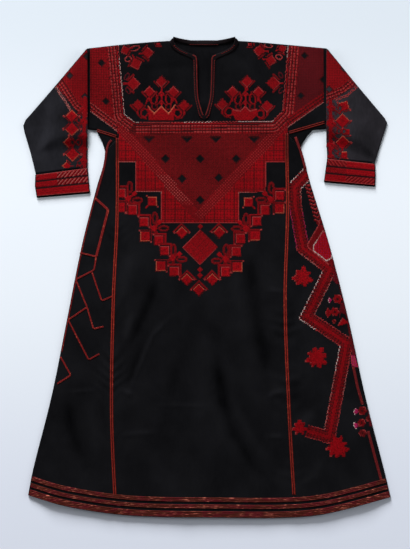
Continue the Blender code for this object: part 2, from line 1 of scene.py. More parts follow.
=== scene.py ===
"""The looks of a long black cotton dress with red cross-stitch, laid flat, front up.

Lengths are worked out in millimetres, with x to the right, y towards the neck and z up
off the table, and become metres where a mesh is made. Left and right are those of
someone who looks down on the front.
"""

from __future__ import annotations

import json
import logging
import math
from collections.abc import Callable, Sequence
from dataclasses import dataclass, field
from enum import Enum
from functools import partial

import bpy
import numpy as np
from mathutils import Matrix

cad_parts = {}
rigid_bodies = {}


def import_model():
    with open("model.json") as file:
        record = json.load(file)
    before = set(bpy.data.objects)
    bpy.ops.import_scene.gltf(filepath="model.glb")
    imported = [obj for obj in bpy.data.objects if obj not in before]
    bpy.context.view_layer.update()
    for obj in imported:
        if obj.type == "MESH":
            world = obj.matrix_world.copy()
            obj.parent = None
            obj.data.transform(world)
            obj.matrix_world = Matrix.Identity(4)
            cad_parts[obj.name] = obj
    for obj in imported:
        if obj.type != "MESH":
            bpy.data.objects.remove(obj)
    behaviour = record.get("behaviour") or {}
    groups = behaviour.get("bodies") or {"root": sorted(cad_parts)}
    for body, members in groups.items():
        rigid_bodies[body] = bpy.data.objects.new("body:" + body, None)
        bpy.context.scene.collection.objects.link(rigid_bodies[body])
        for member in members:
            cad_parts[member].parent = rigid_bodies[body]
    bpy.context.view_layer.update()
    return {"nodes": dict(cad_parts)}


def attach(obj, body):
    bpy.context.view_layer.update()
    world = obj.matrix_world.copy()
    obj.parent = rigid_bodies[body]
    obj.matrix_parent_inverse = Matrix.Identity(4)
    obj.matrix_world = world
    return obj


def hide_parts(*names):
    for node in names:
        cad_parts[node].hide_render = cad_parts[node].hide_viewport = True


log = logging.getLogger("dress")

Array = np.ndarray
Piece = bpy.types.Object
Material = bpy.types.Material
Spot = tuple[float, float]
Places = Sequence[Spot]
Surface = Callable[[Array, Array], Array]
Screen = tuple[int, int, int]

MM = 0.001  # a millimetre in metres
WALL = 1.2  # thickness of the cloth's shells
LAID = 5.2  # height of the front where the dress lies flattest
SEAM_GAP = 0.15  # how far each cloth stays from its seam
MID = LAID / 2  # height of the folded sides' edge
TURN = 4.5  # how far in from an edge the rounding of a fold reaches
SLEEVE_HEIGHT = 5.0  # thickness of a forearm as it lies
STACK = 9.1  # height of the sleeve's layers under the forearm
DRAPE_CLEAR = 11.0  # how far past those layers the forearm stays up
DRAPE = 46.0  # the stretch over which it then comes down to the table
PITCH = 2.4  # size of a cross-stitch
NECK_X = -8.0  # x of the neck's middle
NECK_TOP = 730.0  # y above the whole dress, where the neck's cut ends

FOLD_HEIGHT = 2.1  # height of the skirt's deepest folds
SKIRT_RISE = 2.9  # how far the skirt stands above the chest
SKIRT_SPREAD = 75.0  # how far in from a folded side it reaches that height
SKIRT_START = 130.0  # y where the stiff chest ends
HEM_LIFT = 3.2  # height of the hem's slow waves
HEM_REACH = 130.0  # how far up from the hem they go
HEM_WAVES = 2.5  # how many of them a metre holds


# ---- curves and plan outlines ----------------------------------------------------------
def ease(t: Array | float) -> Array:
    """Smoothstep: 3t^2 - 2t^3 on t held between 0 and 1."""
    t = np.clip(t, 0.0, 1.0)
    return t * t * (3 - 2 * t)


def mix(a: Array | float, b: Array | float, t: Array | float) -> Array:
    """a at t = 0 and b at t = 1, straight between."""
    return a + (b - a) * t


@dataclass(frozen=True)
class Course:
    """A smooth course through knots, each an abscissa and its ordinate."""

    knots: tuple[tuple[float, float], ...]

    def __call__(self, at: Array | float) -> Array:
        """Reads the course.

        Each span is the cubic with Catmull-Rom slopes at its two knots: the slope at a knot
        is the rise between its neighbours over their distance. Past the ends it is level.

        Args:
            at: abscissas.

        Returns:
            The ordinates there.
        """
        xs, ys = np.array(self.knots).T
        last = len(xs) - 1
        k = np.arange(last + 1)
        before, after = np.maximum(k - 1, 0), np.minimum(k + 1, last)
        slopes = (ys[after] - ys[before]) / (xs[after] - xs[before])
        at = np.clip(at, xs[0], xs[-1])
        i = np.clip(np.searchsorted(xs, at, side="right") - 1, 0, last - 1)
        step = xs[i + 1] - xs[i]
        t = (at - xs[i]) / step
        held = ys[i] * (1 + 2 * t) * (1 - t) ** 2 + ys[i + 1] * t * t * (3 - 2 * t)
        return held + step * (slopes[i] * t * (1 - t) ** 2 - slopes[i + 1] * t * t * (1 - t))


def inside(places: Places, x: Array, y: Array) -> Array:
    """Mask of the points inside a polygon: those that an odd number of its sides pass below.

    Args:
        places: the polygon's corners.
        x, y: plan places.

    Returns:
        The mask.
    """
    found = np.zeros(np.shape(x), dtype=bool)
    for (ax, ay), (bx, by) in zip(places, [*places[1:], places[0]]):
        if ax == bx:
            continue
        spans = (x < ax) != (x < bx)
        found ^= spans & (y > ay + (x - ax) * (by - ay) / (bx - ax))
    return found


def nearest(places: Places, x: Array, y: Array) -> tuple[Array, Array, Array]:
    """Distances from a broken line.

    Args:
        places: its corners.
        x, y: plan places.

    Returns:
        The distance from the line, how far along it the nearest point is, and the signed
        distance from that stretch, above 0 to the left of the way along.
    """
    best = np.full(np.shape(x), 1e9)
    along, signed = np.zeros_like(best), np.zeros_like(best)
    start = 0.0
    for (ax, ay), (bx, by) in zip(places, places[1:]):
        ux, uy = bx - ax, by - ay
        length = math.hypot(ux, uy)
        t = np.clip(((x - ax) * ux + (y - ay) * uy) / length**2, 0, 1)
        away = np.hypot(x - ax - t * ux, y - ay - t * uy)
        side = (ux * (y - ay) - uy * (x - ax)) / length
        closer = away < best
        best = np.where(closer, away, best)
        along = np.where(closer, start + t * length, along)
        signed = np.where(closer, side, signed)
        start += length
    return best, along, signed


def mitred(places: Places, x: Array, y: Array) -> tuple[Array, Array, Array]:
    """Distances from a broken line as `nearest` gives them, but with sharp corners.

    Each place belongs to the stretch that lies on its side of the lines that halve the
    corners, and its distance is square to that stretch.

    Args:
        places: its corners.
        x, y: plan places.

    Returns:
        The distance, how far along, and the signed distance, or 1e9, 0 and 0 past both ends.
    """
    best = np.full(np.shape(x), 1e9)
    along, signed = np.zeros_like(best), np.zeros_like(best)
    points = np.array(places, dtype=float)
    lengths = np.linalg.norm(np.diff(points, axis=0), axis=1)
    ways = np.diff(points, axis=0) / lengths[:, None]
    starts = np.concatenate([[0.0], np.cumsum(lengths)])
    for k, (ux, uy) in enumerate(ways):
        (ax, ay), (bx, by) = points[k], points[k + 1]
        low = ways[k] + ways[max(k - 1, 0)]
        high = ways[k] + ways[min(k + 1, len(ways) - 1)]
        own = (x - ax) * low[0] + (y - ay) * low[1] >= 0
        own &= (x - bx) * high[0] + (y - by) * high[1] <= 0
        side = ux * (y - ay) - uy * (x - ax)
        own &= np.abs(side) < best
        best = np.where(own, np.abs(side), best)
        along = np.where(own, starts[k] + (x - ax) * ux + (y - ay) * uy, along)
        signed = np.where(own, side, signed)
    return best, along, signed


SIDE = {
    -1: Course(
        (
            (-640, -523), (-562, -508), (-343, -453), (-124, -409), (95, -365), (267, -321), (330, -302),
            (374, -297)
        )
    ),
    1: Course(
        ((-640, 536), (-562, 517), (-343, 461), (-124, 413), (95, 357), (267, 304), (330, 286), (374, 272))
    ),
}
SEAM = {
    -1: Course(((-690, -266), (-400, -278), (-70, -273), (180, -262), (420, -261), (700, -258))),
    1: Course(((-690, 257), (-400, 240), (-70, 228), (180, 235), (420, 233), (700, 237))),
}
HEM = Course(
    (
        (-523, -635), (-416, -666), (-286, -688), (-173, -697), (38, -700), (239, -700), (352, -688),
        (536, -641)
    )
)
SHOULDER = Course(((-348, 668.7), (-225, 682), (-96, 691), (80, 691), (237, 679), (348, 668.7)))
SKIRT_TOP = ((-297.0, 368.0), (-261.0, 405.0), (233.0, 419.0), (272.0, 376.0))


def skirt_top(x: Array) -> Array:
    """Height of the gores' slanting heads, straight between the armpits."""
    xs, ys = np.array(SKIRT_TOP).T
    return np.interp(x, xs, ys)


# ---- the front's relief ----------------------------------------------------------------
@dataclass(frozen=True)
class Fold:
    """A soft ridge (height above 0) or trough along a broken line."""

    places: Places
    width: float
    height: float

    def rise(self, x: Array, y: Array) -> Array:
        """Bell curve of the distance from the line, lower towards both its ends.

        Args:
            x, y: plan places.

        Returns:
            Its height there.
        """
        away, along, _ = nearest(self.places, x, y)
        total = sum(math.dist(a, b) for a, b in zip(self.places, self.places[1:]))
        ends = 0.25 + 0.75 * ease(np.minimum(along, total - along) / (0.3 * total))
        return self.height * ends * np.exp(-((away / self.width) ** 2))


FOLDS = tuple(Fold(*row) for row in (
    (((-146, 10), (-166, -66), (-204, -153), (-242, -218)), 14.6, -1.0),
    (((-190, -197), (-225, -299), (-242, -323)), 11.7, -0.7),
    (((-210, 80), (-222, 45), (-251, -80)), 20.4, 1.0),
    (((-216, -95), (-237, -197)), 11.7, 0.8),
    (((-102, -110), (-158, -168), (-225, -323)), 6.4, 0.7),
    (((-166, -226), (-196, -343)), 23.4, 0.4),
    (((-64, -212), (-114, -358), (-123, -474)), 20.4, -0.4),
    (((-32, -66), (-6, -241), (-20, -562)), 35.0, 0.35),
    (((20, -153), (44, -358), (70, -445), (126, -539), (199, -620)), 16.1, -1.1),
    (((61, -270), (85, -387), (140, -489), (213, -577)), 14.6, 0.6),
    (((82, 57), (91, -66), (111, -212)), 17.5, 0.5),
    (((123, 80), (140, -66), (161, -212), (178, -343)), 20.4, -1.1),
    (((178, -36), (222, -42)), 7.3, 0.7),
    (((175, -352), (196, -337), (228, -334)), 8.8, 0.9),
    (((178, -463), (222, -466)), 7.3, 0.7),
    (((-248, -328), (-216, -343)), 7.3, 0.8),
    (((-254, -460), (-152, -451)), 7.3, 0.5),
    (((-152, -372), (3, -375)), 4.7, 0.35),
    (((-412, -328), (-394, -445), (-359, -556)), 17.5, -0.9),
    (((-347, -343), (-327, -474), (-318, -562)), 17.5, 0.4),
    (((-304, -299), (-295, -474)), 11.7, -0.3),
    (((-318, 182), (-336, 80)), 23.4, 0.8),
    (((-400, -334), (-324, -328)), 5.3, 0.5),
    (((315, -387), (272, -445)), 17.5, 0.9),
    (((272, -299), (242, -358)), 17.5, -0.7),
    (((260, -182), (239, -241)), 14.6, 0.3),
    (((248, -66), (248, -153)), 14.6, -0.5),
    (((263, -612), (315, -577), (345, -518)), 11.7, 0.5),
))
CHEST_FOLDS = (
    Fold(((-200, 606), (-44, 615)), 15, -1.0),
    Fold(((73, 664), (170, 571)), 15, -0.9),
    Fold(((-90, 560), (-60, 480)), 14, 0.6),
    Fold(((60, 560), (44, 470)), 14, 0.6),
)


def ripple(x: Array, y: Array) -> Array:
    """The cloth's faint unevenness: four long sine waves that cross one another.

    Args:
        x, y: plan places.

    Returns:
        Its height there.
    """
    return (
        0.30 * np.sin(x / 31 + y / 74 + 0.7)
        + 0.24 * np.sin(x / 57 - y / 43 + 2.1)
        + 0.14 * np.sin(x / 17 + y / 23 + 4.0)
        + 0.10 * np.sin(-x / 13 + y / 29 + 1.2)
    )


def puckers(x: Array, y: Array) -> Array:
    """Short creases that slant off both long seams: a wavering sine, fading with distance.

    Args:
        x, y: plan places.

    Returns:
        Their height there, at full strength about 1.
    """
    rise = 0
    for side in (-1, 1):
        away = np.abs(x - SEAM[side](y))
        slant = 0.35 if side > 0 else 1.1
        wave = np.sin((y - slant * away) / 6 + 2.6 * np.sin(y / 61 + side) + 1.1 * np.sin(y / 23))
        patchy = np.clip(0.35 + np.sin(y / 47 + 2.0 * side) * np.sin(y / 113 - side), 0, 1)
        rise = rise + np.exp(-((away / 38) ** 2)) * wave * patchy
    return rise * ease((190 - y) / 60)


def drape(x: Array, y: Array) -> Array:
    """The skirt's folds together: above 0 on ridges, below 0 in troughs."""
    return sum(fold.rise(x, y) for fold in FOLDS) + 0.34 * puckers(x, y)


def front_top(x: Array, y: Array) -> Array:
    """Height of the front's outer face.

    The stiff chest lies flat at LAID. Below it the skirt stands off its back, with its
    folds, and its hem is lifted in slow waves. Both die out towards the folded sides.

    Args:
        x, y: plan places.

    Returns:
        z there.
    """
    to_side = np.minimum(x - SIDE[-1](y), SIDE[1](y) - x)
    spread = ease(to_side / SKIRT_SPREAD)
    skirt = spread * ease((SKIRT_START - y) / 160.0)
    wave = 0.75 + 0.25 * np.cos(2 * math.pi * HEM_WAVES * x / 1000 + 0.6)
    hem = spread * (1 - ease((y - HEM(x)) / HEM_REACH)) * wave
    folds = (0.35 + 0.65 * skirt) * ease(to_side / 40.0) * FOLD_HEIGHT * drape(x, y)
    chest = 1.5 * sum(fold.rise(x, y) for fold in CHEST_FOLDS)
    soft = ease(to_side / 30.0) * (chest + ripple(x, y) * (0.35 + 0.85 * skirt))
    return LAID + skirt * SKIRT_RISE + folds + hem * HEM_LIFT + soft


def edge_top(x: Array, y: Array) -> Array:
    """The front's height where it also rounds off at the folded sides, as an ellipse.

    Args:
        x, y: plan places.

    Returns:
        z there.
    """
    to_side = np.minimum(x - SIDE[-1](y), SIDE[1](y) - x)
    fall = 1 - np.clip(to_side / TURN, 0, 1)
    rounded = mix(MID, front_top(x, y), np.sqrt(1 - fall * fall))
    return np.where(y > skirt_top(x) - 1.0, LAID, rounded)


# ---- meshes ----------------------------------------------------------------------------
def make_mesh(name: str, points: Array, faces: Array, uv: Array | None = None) -> Piece:
    """A smooth-shaded mesh object from arrays.

    Args:
        name: the piece's name.
        points: n x 3 places in millimetres.
        faces: m x 3 or m x 4 indices into them.
        uv: one pair for each corner of each face, in order, if the piece needs them.

    Returns:
        The object, linked, at the origin.
    """
    count, corners = faces.shape
    mesh = bpy.data.meshes.new(name)
    mesh.vertices.add(len(points))
    mesh.vertices.foreach_set("co", (points * MM).astype(np.float32).ravel())
    mesh.loops.add(count * corners)
    mesh.loops.foreach_set("vertex_index", faces.astype(np.int32).ravel())
    mesh.polygons.add(count)
    mesh.polygons.foreach_set("loop_start", np.arange(0, count * corners, corners, dtype=np.int32))
    mesh.polygons.foreach_set("use_smooth", np.ones(count, dtype=bool))
    mesh.update(calc_edges=True)
    if uv is not None:
        layer = mesh.uv_layers.new(name="lie")
        layer.data.foreach_set("uv", uv.astype(np.float32).ravel())
    mesh.validate()
    piece = bpy.data.objects.new(name, mesh)
    bpy.context.scene.collection.objects.link(piece)
    return piece


def grid_faces(rows: int, columns: int, wrap: bool = False) -> Array:
    """Quads of a grid whose points run along the columns first; wrap joins the last to the first.

    Args:
        rows, columns: of the grid.
        wrap: whether its last column joins its first.

    Returns:
        Four indices for each quad.
    """
    across = np.arange(columns if wrap else columns - 1)
    j, i = np.meshgrid(np.arange(rows - 1), across, indexing="ij")
    right = (i + 1) % columns
    low, high = j * columns, (j + 1) * columns
    return np.stack([low + i, low + right, high + right, high + i], axis=-1).reshape(-1, 4)


def closed(points: Array) -> Array:
    """A grid of points with its first column again after its last, as a tube has it."""
    return np.concatenate([points, points[:, :1]], axis=1)


def unroll(points: Array) -> tuple[Array, Array]:
    """How far each point of a grid lies across from the first column and along from the first row.

    Args:
        points: rows x columns x 3, in millimetres.

    Returns:
        The running lengths of the steps across and of those along, in metres.
    """
    across = np.linalg.norm(np.diff(points, axis=1, prepend=points[:, :1]), axis=2)
    along = np.linalg.norm(np.diff(points, axis=0, prepend=points[:1]), axis=2)
    return np.cumsum(across, axis=1) * MM, np.cumsum(along, axis=0) * MM


def at_corners(first: Array, second: Array) -> Array:
    """Two values at each point of a grid as pairs for the corners of its quads, as grid_faces has them."""
    lie = np.stack([first, second], axis=-1)
    return np.stack([lie[:-1, :-1], lie[:-1, 1:], lie[1:, 1:], lie[1:, :-1]], axis=2).reshape(-1, 4, 2)


def grid_piece(name: str, points: Array, wrap: bool = False, keep: Array | None = None) -> Piece:
    """A mesh through a grid of points, with UVs in metres along the rows and columns.

    Args:
        name: the piece's name.
        points: rows x columns x 3, outer face on the side of column step x row step.
        wrap: whether the columns close into a tube.
        keep: mask of the quads to keep, if some are cut away.

    Returns:
        The piece.
    """
    faces = grid_faces(*points.shape[:2], wrap)
    uv = at_corners(*unroll(closed(points) if wrap else points))
    if keep is not None:
        faces, uv = faces[keep], uv[keep]
        used, faces = np.unique(faces, return_inverse=True)
        return make_mesh(name, points.reshape(-1, 3)[used], faces.reshape(-1, 4), uv)
    return make_mesh(name, points.reshape(-1, 3), faces, uv)


def thicken(piece: Piece, wall: float = WALL) -> Piece:
    """Gives an open shell its wall, inwards from its outer face.

    Args:
        piece: the shell.
        wall: its thickness in millimetres.

    Returns:
        The same piece.
    """
    solidify = piece.modifiers.new("wall", "SOLIDIFY")
    solidify.thickness = wall * MM
    solidify.offset = -1.0
    return piece


def area_of(points: Array, wrap: bool = False) -> float:
    """Area in square metres of the quads through a grid of points in millimetres.

    Args:
        points: the grid.
        wrap: whether its last column joins its first.

    Returns:
        The area.
    """
    if wrap:
        points = closed(points)
    one = np.cross(points[1:, 1:] - points[:-1, :-1], points[1:, :-1] - points[:-1, 1:])
    return float(np.linalg.norm(one, axis=2).sum() / 2 * MM * MM)


def paint_fold_light(piece: Piece) -> Piece:
    """Paints light and shade on each point of a front piece: half tone on the flat, painted highlight on
    the folds' ridges and painted shade in their troughs, and lower from y 120 mm up.

    Args:
        piece: a shell whose points lie on the front.

    Returns:
        The same piece.
    """
    count = len(piece.data.vertices)
    places = np.empty(count * 3, dtype=np.float32)
    piece.data.vertices.foreach_get("co", places)
    x, y, _ = places.reshape(-1, 3).T.astype(float) / MM
    # painted light and shade: higher where the folds and ripples rise, lower where they sink
    painted_light = np.clip(0.5 + 0.46 * drape(x, y) + 0.16 * ripple(x, y) - 0.2 * ease((y - 120) / 200), 0, 1)
    layer = piece.data.attributes.new("painted_light", "FLOAT", "POINT")
    layer.data.foreach_set("value", painted_light.astype(np.float32))
    return piece


def finish_piece(piece: Piece, finish: Material, slot: str, *nodes: str) -> Piece:
    """Gives a piece its material and its body, and hides the nodes that it stands for.

    Args:
        piece: what is finished.
        finish: its material.
        slot: its material slot in the record; not used.
        nodes: what it stands for, if anything.

    Returns:
        The same piece.
    """
    piece.data.materials.append(finish)
    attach(piece, "root")
    if nodes:
        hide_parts(*nodes)
    log.info("%s: %d faces", piece.name, len(piece.data.polygons))
    return piece


# ---- materials -------------------------------------------------------------------------
class Value:
    """A shader socket that Python's operators work on."""

    def __init__(self, shader: Shader, socket: bpy.types.NodeSocket) -> None:
        """Wraps a socket of a shader's tree."""
        self.shader, self.socket = shader, socket

    def _math(self, operation: str, a: object, b: object) -> Value:
        """One Math node."""
        return self.shader.node("ShaderNodeMath", {"operation": operation}, {0: a, 1: b})

    def __add__(self, other: Value | float) -> Value:
        """Sum."""
        return self._math("ADD", self, other)

    __radd__ = __add__

    def __sub__(self, other: Value | float) -> Value:
        """Difference."""
        return self._math("SUBTRACT", self, other)

    def __rsub__(self, other: Value | float) -> Value:
        """Difference from a number."""
        return self._math("SUBTRACT", other, self)

    def __mul__(self, other: Value | float) -> Value:
        """Product."""
        return self._math("MULTIPLY", self, other)

    __rmul__ = __mul__

    def sine(self) -> Value:
        """Sine, in radians."""
        return self._math("SINE", self, 0.0)

    def over(self, low: float, high: float) -> Value:
        """0 at low and 1 at high, smoothly, and held there."""
        settings = {"interpolation_type": "SMOOTHSTEP"}
        return self.shader.node("ShaderNodeMapRange", settings, {0: self, 1: low, 2: high})


class Shader:
    """One material's node tree."""

    def __init__(self, name: str) -> None:
        """Starts a material with its Principled shader.

        Args:
            name: the material's.
        """
        self.material = bpy.data.materials.new(name)
        self.material.use_nodes = True
        self.tree = self.material.node_tree
        self.principled = self.tree.nodes["Principled BSDF"]

    def node(
        self, kind: str, settings: dict[str, object], inputs: dict[int | str, object], output: int | str = 0
    ) -> Value:
        """Adds any node.

        Args:
            kind: the node's type.
            settings: its properties, set first.
            inputs: a value or a linked Value for each of its sockets.
            output: which of its outputs to return.

        Returns:
            That output.
        """
        made = self.tree.nodes.new(kind)
        for key, value in settings.items():
            setattr(made, key, value)
        for key, value in inputs.items():
            if isinstance(value, Value):
                self.tree.links.new(value.socket, made.inputs[key])
            else:
                made.inputs[key].default_value = value
        return Value(self, made.outputs[output])

    def place(self) -> tuple[Value, Value, Value]:
        """Object coordinates x, y and z, in metres."""
        where = self.node("ShaderNodeTexCoord", {}, {}, "Object")
        return tuple(self.node("ShaderNodeSeparateXYZ", {}, {0: where}, k) for k in range(3))

    def along(self) -> tuple[Value, Value]:
        """The piece's own UVs, in metres: along a cord or a row, and across it."""
        where = self.node("ShaderNodeUVMap", {"uv_map": "lie"}, {})
        return tuple(self.node("ShaderNodeSeparateXYZ", {}, {0: where}, k) for k in range(2))

    def noise(
        self, scale: float, detail: float = 2.0, stretch: tuple[float, float, float] = (1, 1, 1)
    ) -> Value:
        """Cloudy noise on Object coordinates, from 0 to 1, drawn out by stretch.

        Args:
            scale, detail: the noise's own.
            stretch: factors on x, y and z; a small one draws it out.

        Returns:
            The noise.
        """
        where = self.node("ShaderNodeTexCoord", {}, {}, "Object")
        where = self.node("ShaderNodeVectorMath", {"operation": "MULTIPLY"}, {0: where, 1: stretch})
        return self.node("ShaderNodeTexNoise", {}, {"Vector": where, "Scale": scale, "Detail": detail})

    def blend(self, factor: Value | float, a: object, b: object) -> Value:
        """Mixes two colours, each a linked Value or a tuple.

        Args:
            factor: 0 for the first and 1 for the second.
            a, b: the colours.

        Returns:
            The mixed colour.
        """
        fixed = [(*c, 1.0) if isinstance(c, tuple) else c for c in (a, b)]
        settings = {"data_type": "RGBA"}
        return self.node("ShaderNodeMix", settings, {0: factor, 6: fixed[0], 7: fixed[1]}, 2)

    def set(self, **inputs: object) -> None:
        """Sets or links the Principled shader's sockets; an underscore stands for a space.

        Args:
            inputs: a value, a colour or a linked Value for each socket.
        """
        for key, value in inputs.items():
            socket = self.principled.inputs[key.replace("_", " ")]
            if isinstance(value, Value):
                self.tree.links.new(value.socket, socket)
            else:
                socket.default_value = (*value, 1.0) if isinstance(value, tuple) else value

    def bump(self, height: Value, distance: float, strength: float = 1.0) -> None:
        """Links a height in units of distance, in metres, to the Normal through Bump."""
        inputs = {"Height": height, "Distance": distance, "Strength": strength}
        self.set(Normal=self.node("ShaderNodeBump", {}, inputs))


def linear(red: int, green: int, blue: int) -> tuple[float, float, float]:
    """The shader's colour for one given as a screen would show it, 0 to 255."""
    shares = (c / 255 for c in (red, green, blue))
    return tuple(((c + 0.055) / 1.055) ** 2.4 if c > 10 / 255 else c / 12.92 for c in shares)


@dataclass(frozen=True)
class Cotton:
    """Sateen-woven black cotton: dense threads across, and, where asked, painted highlight on its fold
    ridges and painted shade in its troughs.
    """

    name: str = "black_cotton"
    deep: Screen = (7, 7, 9)
    # the lighter black: random fading, and also painted highlight on fold ridges where asked
    faded_and_lit: Screen = (20, 20, 23)
    thread: float = 0.0007
    sheen: float = 0.01
    painted_light: bool = False

    def material(self) -> Material:
        """Colour drifts between two blacks at random, and also with the folds' painted light and shade
        where asked; the weave is a product of two sine waves.

        Returns:
            The material.
        """
        shader = Shader(self.name)
        x, y, _ = shader.place()
        turn = 2 * math.pi / self.thread
        weave = (x * turn).sine() * (y * (turn * 0.5)).sine()
        cloudy = shader.noise(9.0, 4.0)
        slub = shader.noise(160.0, 2.0, (1.0, 0.3, 1.0))
        tone = cloudy.over(0.3, 0.75) * 0.8 + slub.over(0.3, 0.8) * 0.2
        # painted light and shade: the folds' attribute pulls the colour towards the lighter black on ridges
        # and the deeper one in troughs
        if self.painted_light:
            ridges = shader.node("ShaderNodeAttribute", {"attribute_name": "painted_light"}, {}, "Fac")
            tone = tone * 0.35 + ridges * 0.65
        shader.set(
            Base_Color=shader.blend(tone, linear(*self.deep), linear(*self.faded_and_lit)),
            Roughness=0.72 + 0.14 * cloudy,
            Specular_IOR_Level=0.025,
            Sheen_Weight=self.sheen,
            Sheen_Roughness=0.45,
        )
        shader.bump(weave * 0.5 + slub, 0.00012, 0.7)
        return shader.material


class Thread(Enum):
    """The embroidery's threads, each with its colour as a screen would show it."""

    SCARLET = (146, 7, 17)
    RED = (128, 8, 16)
    DEEP = (106, 11, 16)
    GARNET = (88, 15, 18)
    SHADE = (56, 12, 14)
    CORAL = (172, 78, 58)
    DUSTY = (150, 50, 50)
    ROSE = (164, 92, 88)
    PALE = (186, 164, 160)
    MAGENTA = (158, 28, 78)
    WINE = (86, 15, 24)

    @property
    def code(self) -> int:
        """Its number on a canvas; 0 is bare cloth."""
        return list(Thread).index(self) + 1


SCARLET, RED, DEEP, GARNET, SHADE, CORAL, DUSTY, ROSE, PALE, MAGENTA, WINE = Thread


@dataclass(frozen=True)
class StitchedThread:
    """Stranded thread in crossed stitches, its colour carried by the mesh."""

    name: str = "cross_stitch"
    strand: float = 0.00055
    shadow: tuple[float, ...] = (0.62, 0.6, 0.6, 1.0)

    def material(self) -> Material:
        """Colour from the attribute, mottled; strands run along both diagonals.

        Returns:
            The material.
        """
        shader = Shader(self.name)
        x, y, _ = shader.place()
        dye = shader.node("ShaderNodeAttribute", {"attribute_name": "thread"}, {}, "Color")
        mottle = shader.noise(420.0, 2.0)
        settings = {"data_type": "RGBA", "blend_type": "MULTIPLY"}
        dark = shader.node("ShaderNodeMix", settings, {0: 1.0, 6: dye, 7: self.shadow}, 2)
        turn = 2 * math.pi / self.strand
        strands = ((x + y) * turn).sine() + ((x - y) * turn).sine()
        shader.set(
            Base_Color=shader.blend(mottle.over(0.38, 0.62), dark, dye),
            Roughness=0.52 + 0.2 * mottle,
            Specular_IOR_Level=0.03,
        )
        shader.bump(strands * 0.5 + mottle, 0.0002, 0.6)
        return shader.material


@dataclass(frozen=True)
class CouchedCord:
    """Twisted cord: two plies in a bright and a deep tone, with painted glints of highlight."""

    name: str
    deep: Screen
    bright: Screen
    glint: Screen
    twist: float = 0.0036
    glints: float = 0.25
    stretch: tuple[float, float, float] = (1.0, 1.0, 1.0)
    grain: float = 90.0
    dull_above: float | None = None
    drift: Screen | None = None

    def material(self) -> Material:
        """Plies are a sine of the place along the cord plus the turn across it.

        Returns:
            The material.
        """
        shader = Shader(self.name)
        along, across = shader.along()
        ply = (along * (2 * math.pi / self.twist) + across * (2 * math.pi / 0.004)).sine()
        cloudy = shader.noise(self.grain, 3.0, self.stretch)
        fine = shader.noise(700.0, 1.0, self.stretch)
        bright = linear(*self.bright)
        if self.drift is not None:
            patches = shader.noise(34.0, 2.0, (1.0, 3.0, 1.0)).over(0.46, 0.58)
            bright = shader.blend(patches, bright, linear(*self.drift))
        base = shader.blend(ply.over(-0.7, 0.9) * 0.55 + cloudy * 0.45, linear(*self.deep), bright)
        # painted highlight: glints where two noises both run high
        painted_light = cloudy.over(0.62 - self.glints * 0.2, 0.78) * fine.over(0.4, 0.7)
        colour = shader.blend(painted_light, base, linear(*self.glint))
        if self.dull_above is not None:
            y = shader.place()[1]
            dull = y.over(self.dull_above, self.dull_above + 0.03) * 0.72 + y.over(-0.12, -0.42) * 0.3
            colour = shader.blend(dull, colour, linear(*self.deep))
        shader.set(
            Base_Color=colour,
            Roughness=0.5 + 0.2 * fine,
            Specular_IOR_Level=0.05,
        )
        shader.bump(ply * 0.6 + fine * 0.4, 0.0005, 0.8)
        return shader.material


@dataclass(frozen=True)
class TableTop:
    """A pale blue-grey surface, greyed towards its ends by painted shade."""

    name: str = "table_top"
    # near and far: the surface's colour darkened by painted shade; middle: its own colour
    near: Screen = (222, 228, 241)
    middle: Screen = (233, 240, 248)
    far: Screen = (210, 219, 228)

    def material(self) -> Material:
        """Painted shade: slightly greyer towards the hem and past the shoulders.

        Returns:
            The material.
        """
        shader = Shader(self.name)
        _, y, _ = shader.place()
        lower = shader.blend(y.over(-0.75, 0.0), linear(*self.near), linear(*self.middle))
        shader.set(
            Base_Color=shader.blend(y.over(0.2, 0.85), lower, linear(*self.far)),
            Roughness=0.85,
            Specular_IOR_Level=0.2,
        )
        return shader.material


def once(finish: Cotton | StitchedThread | CouchedCord) -> Material:
    """A field whose material is made from its finish when the finishes are."""
    return field(default_factory=finish.material)


@dataclass
class Finishes:
    """Every material, made once."""

    cotton: Material = once(Cotton())
    # painted light: the front's colour follows the painted highlight and shade of its folds
    front_cotton: Material = once(Cotton("front_cotton", (1, 1, 2), (26, 26, 29), painted_light=True))
    # painted light: the forearms are the same black cloth, made lighter here, the right one more
    left_forearm_painted_light: Material = once(Cotton("sleeve_cotton_left_painted_light", (18, 18, 21), (37, 37, 42)))
    right_forearm_painted_light: Material = once(Cotton("sleeve_cotton_right_painted_light", (24, 23, 26), (46, 44, 49)))
    binding: Material = once(Cotton("binding_cotton", (13, 10, 12), (26, 20, 22), 0.0009, 0.01))
    stitches: Material = once(StitchedThread())
    seam_cord: Material = once(
        CouchedCord("seam_cord", (78, 18, 16), (156, 44, 32), (222, 106, 68), grain=150.0, dull_above=0.33)
    )
    skirt_cord: Material = once(
        CouchedCord("skirt_cord", (70, 14, 16), (140, 30, 28), (226, 118, 88), glints=0.4, grain=230.0)
    )
    hem_cord: Material = once(
        CouchedCord(
            "hem_cord", (34, 8, 6), (94, 32, 20), (226, 128, 106), twist=0.005, glints=0.6,
            stretch=(0.12, 1.0, 1.0), grain=380.0, drift=(108, 20, 30)
        )
    )
    side_cord: Material = once(
        CouchedCord("side_cord", (58, 14, 16), (118, 30, 32), (176, 74, 60), grain=230.0)
    )
    edge_cord: Material = once(CouchedCord("edge_cord", (64, 16, 16), (112, 28, 26), (160, 66, 56)))


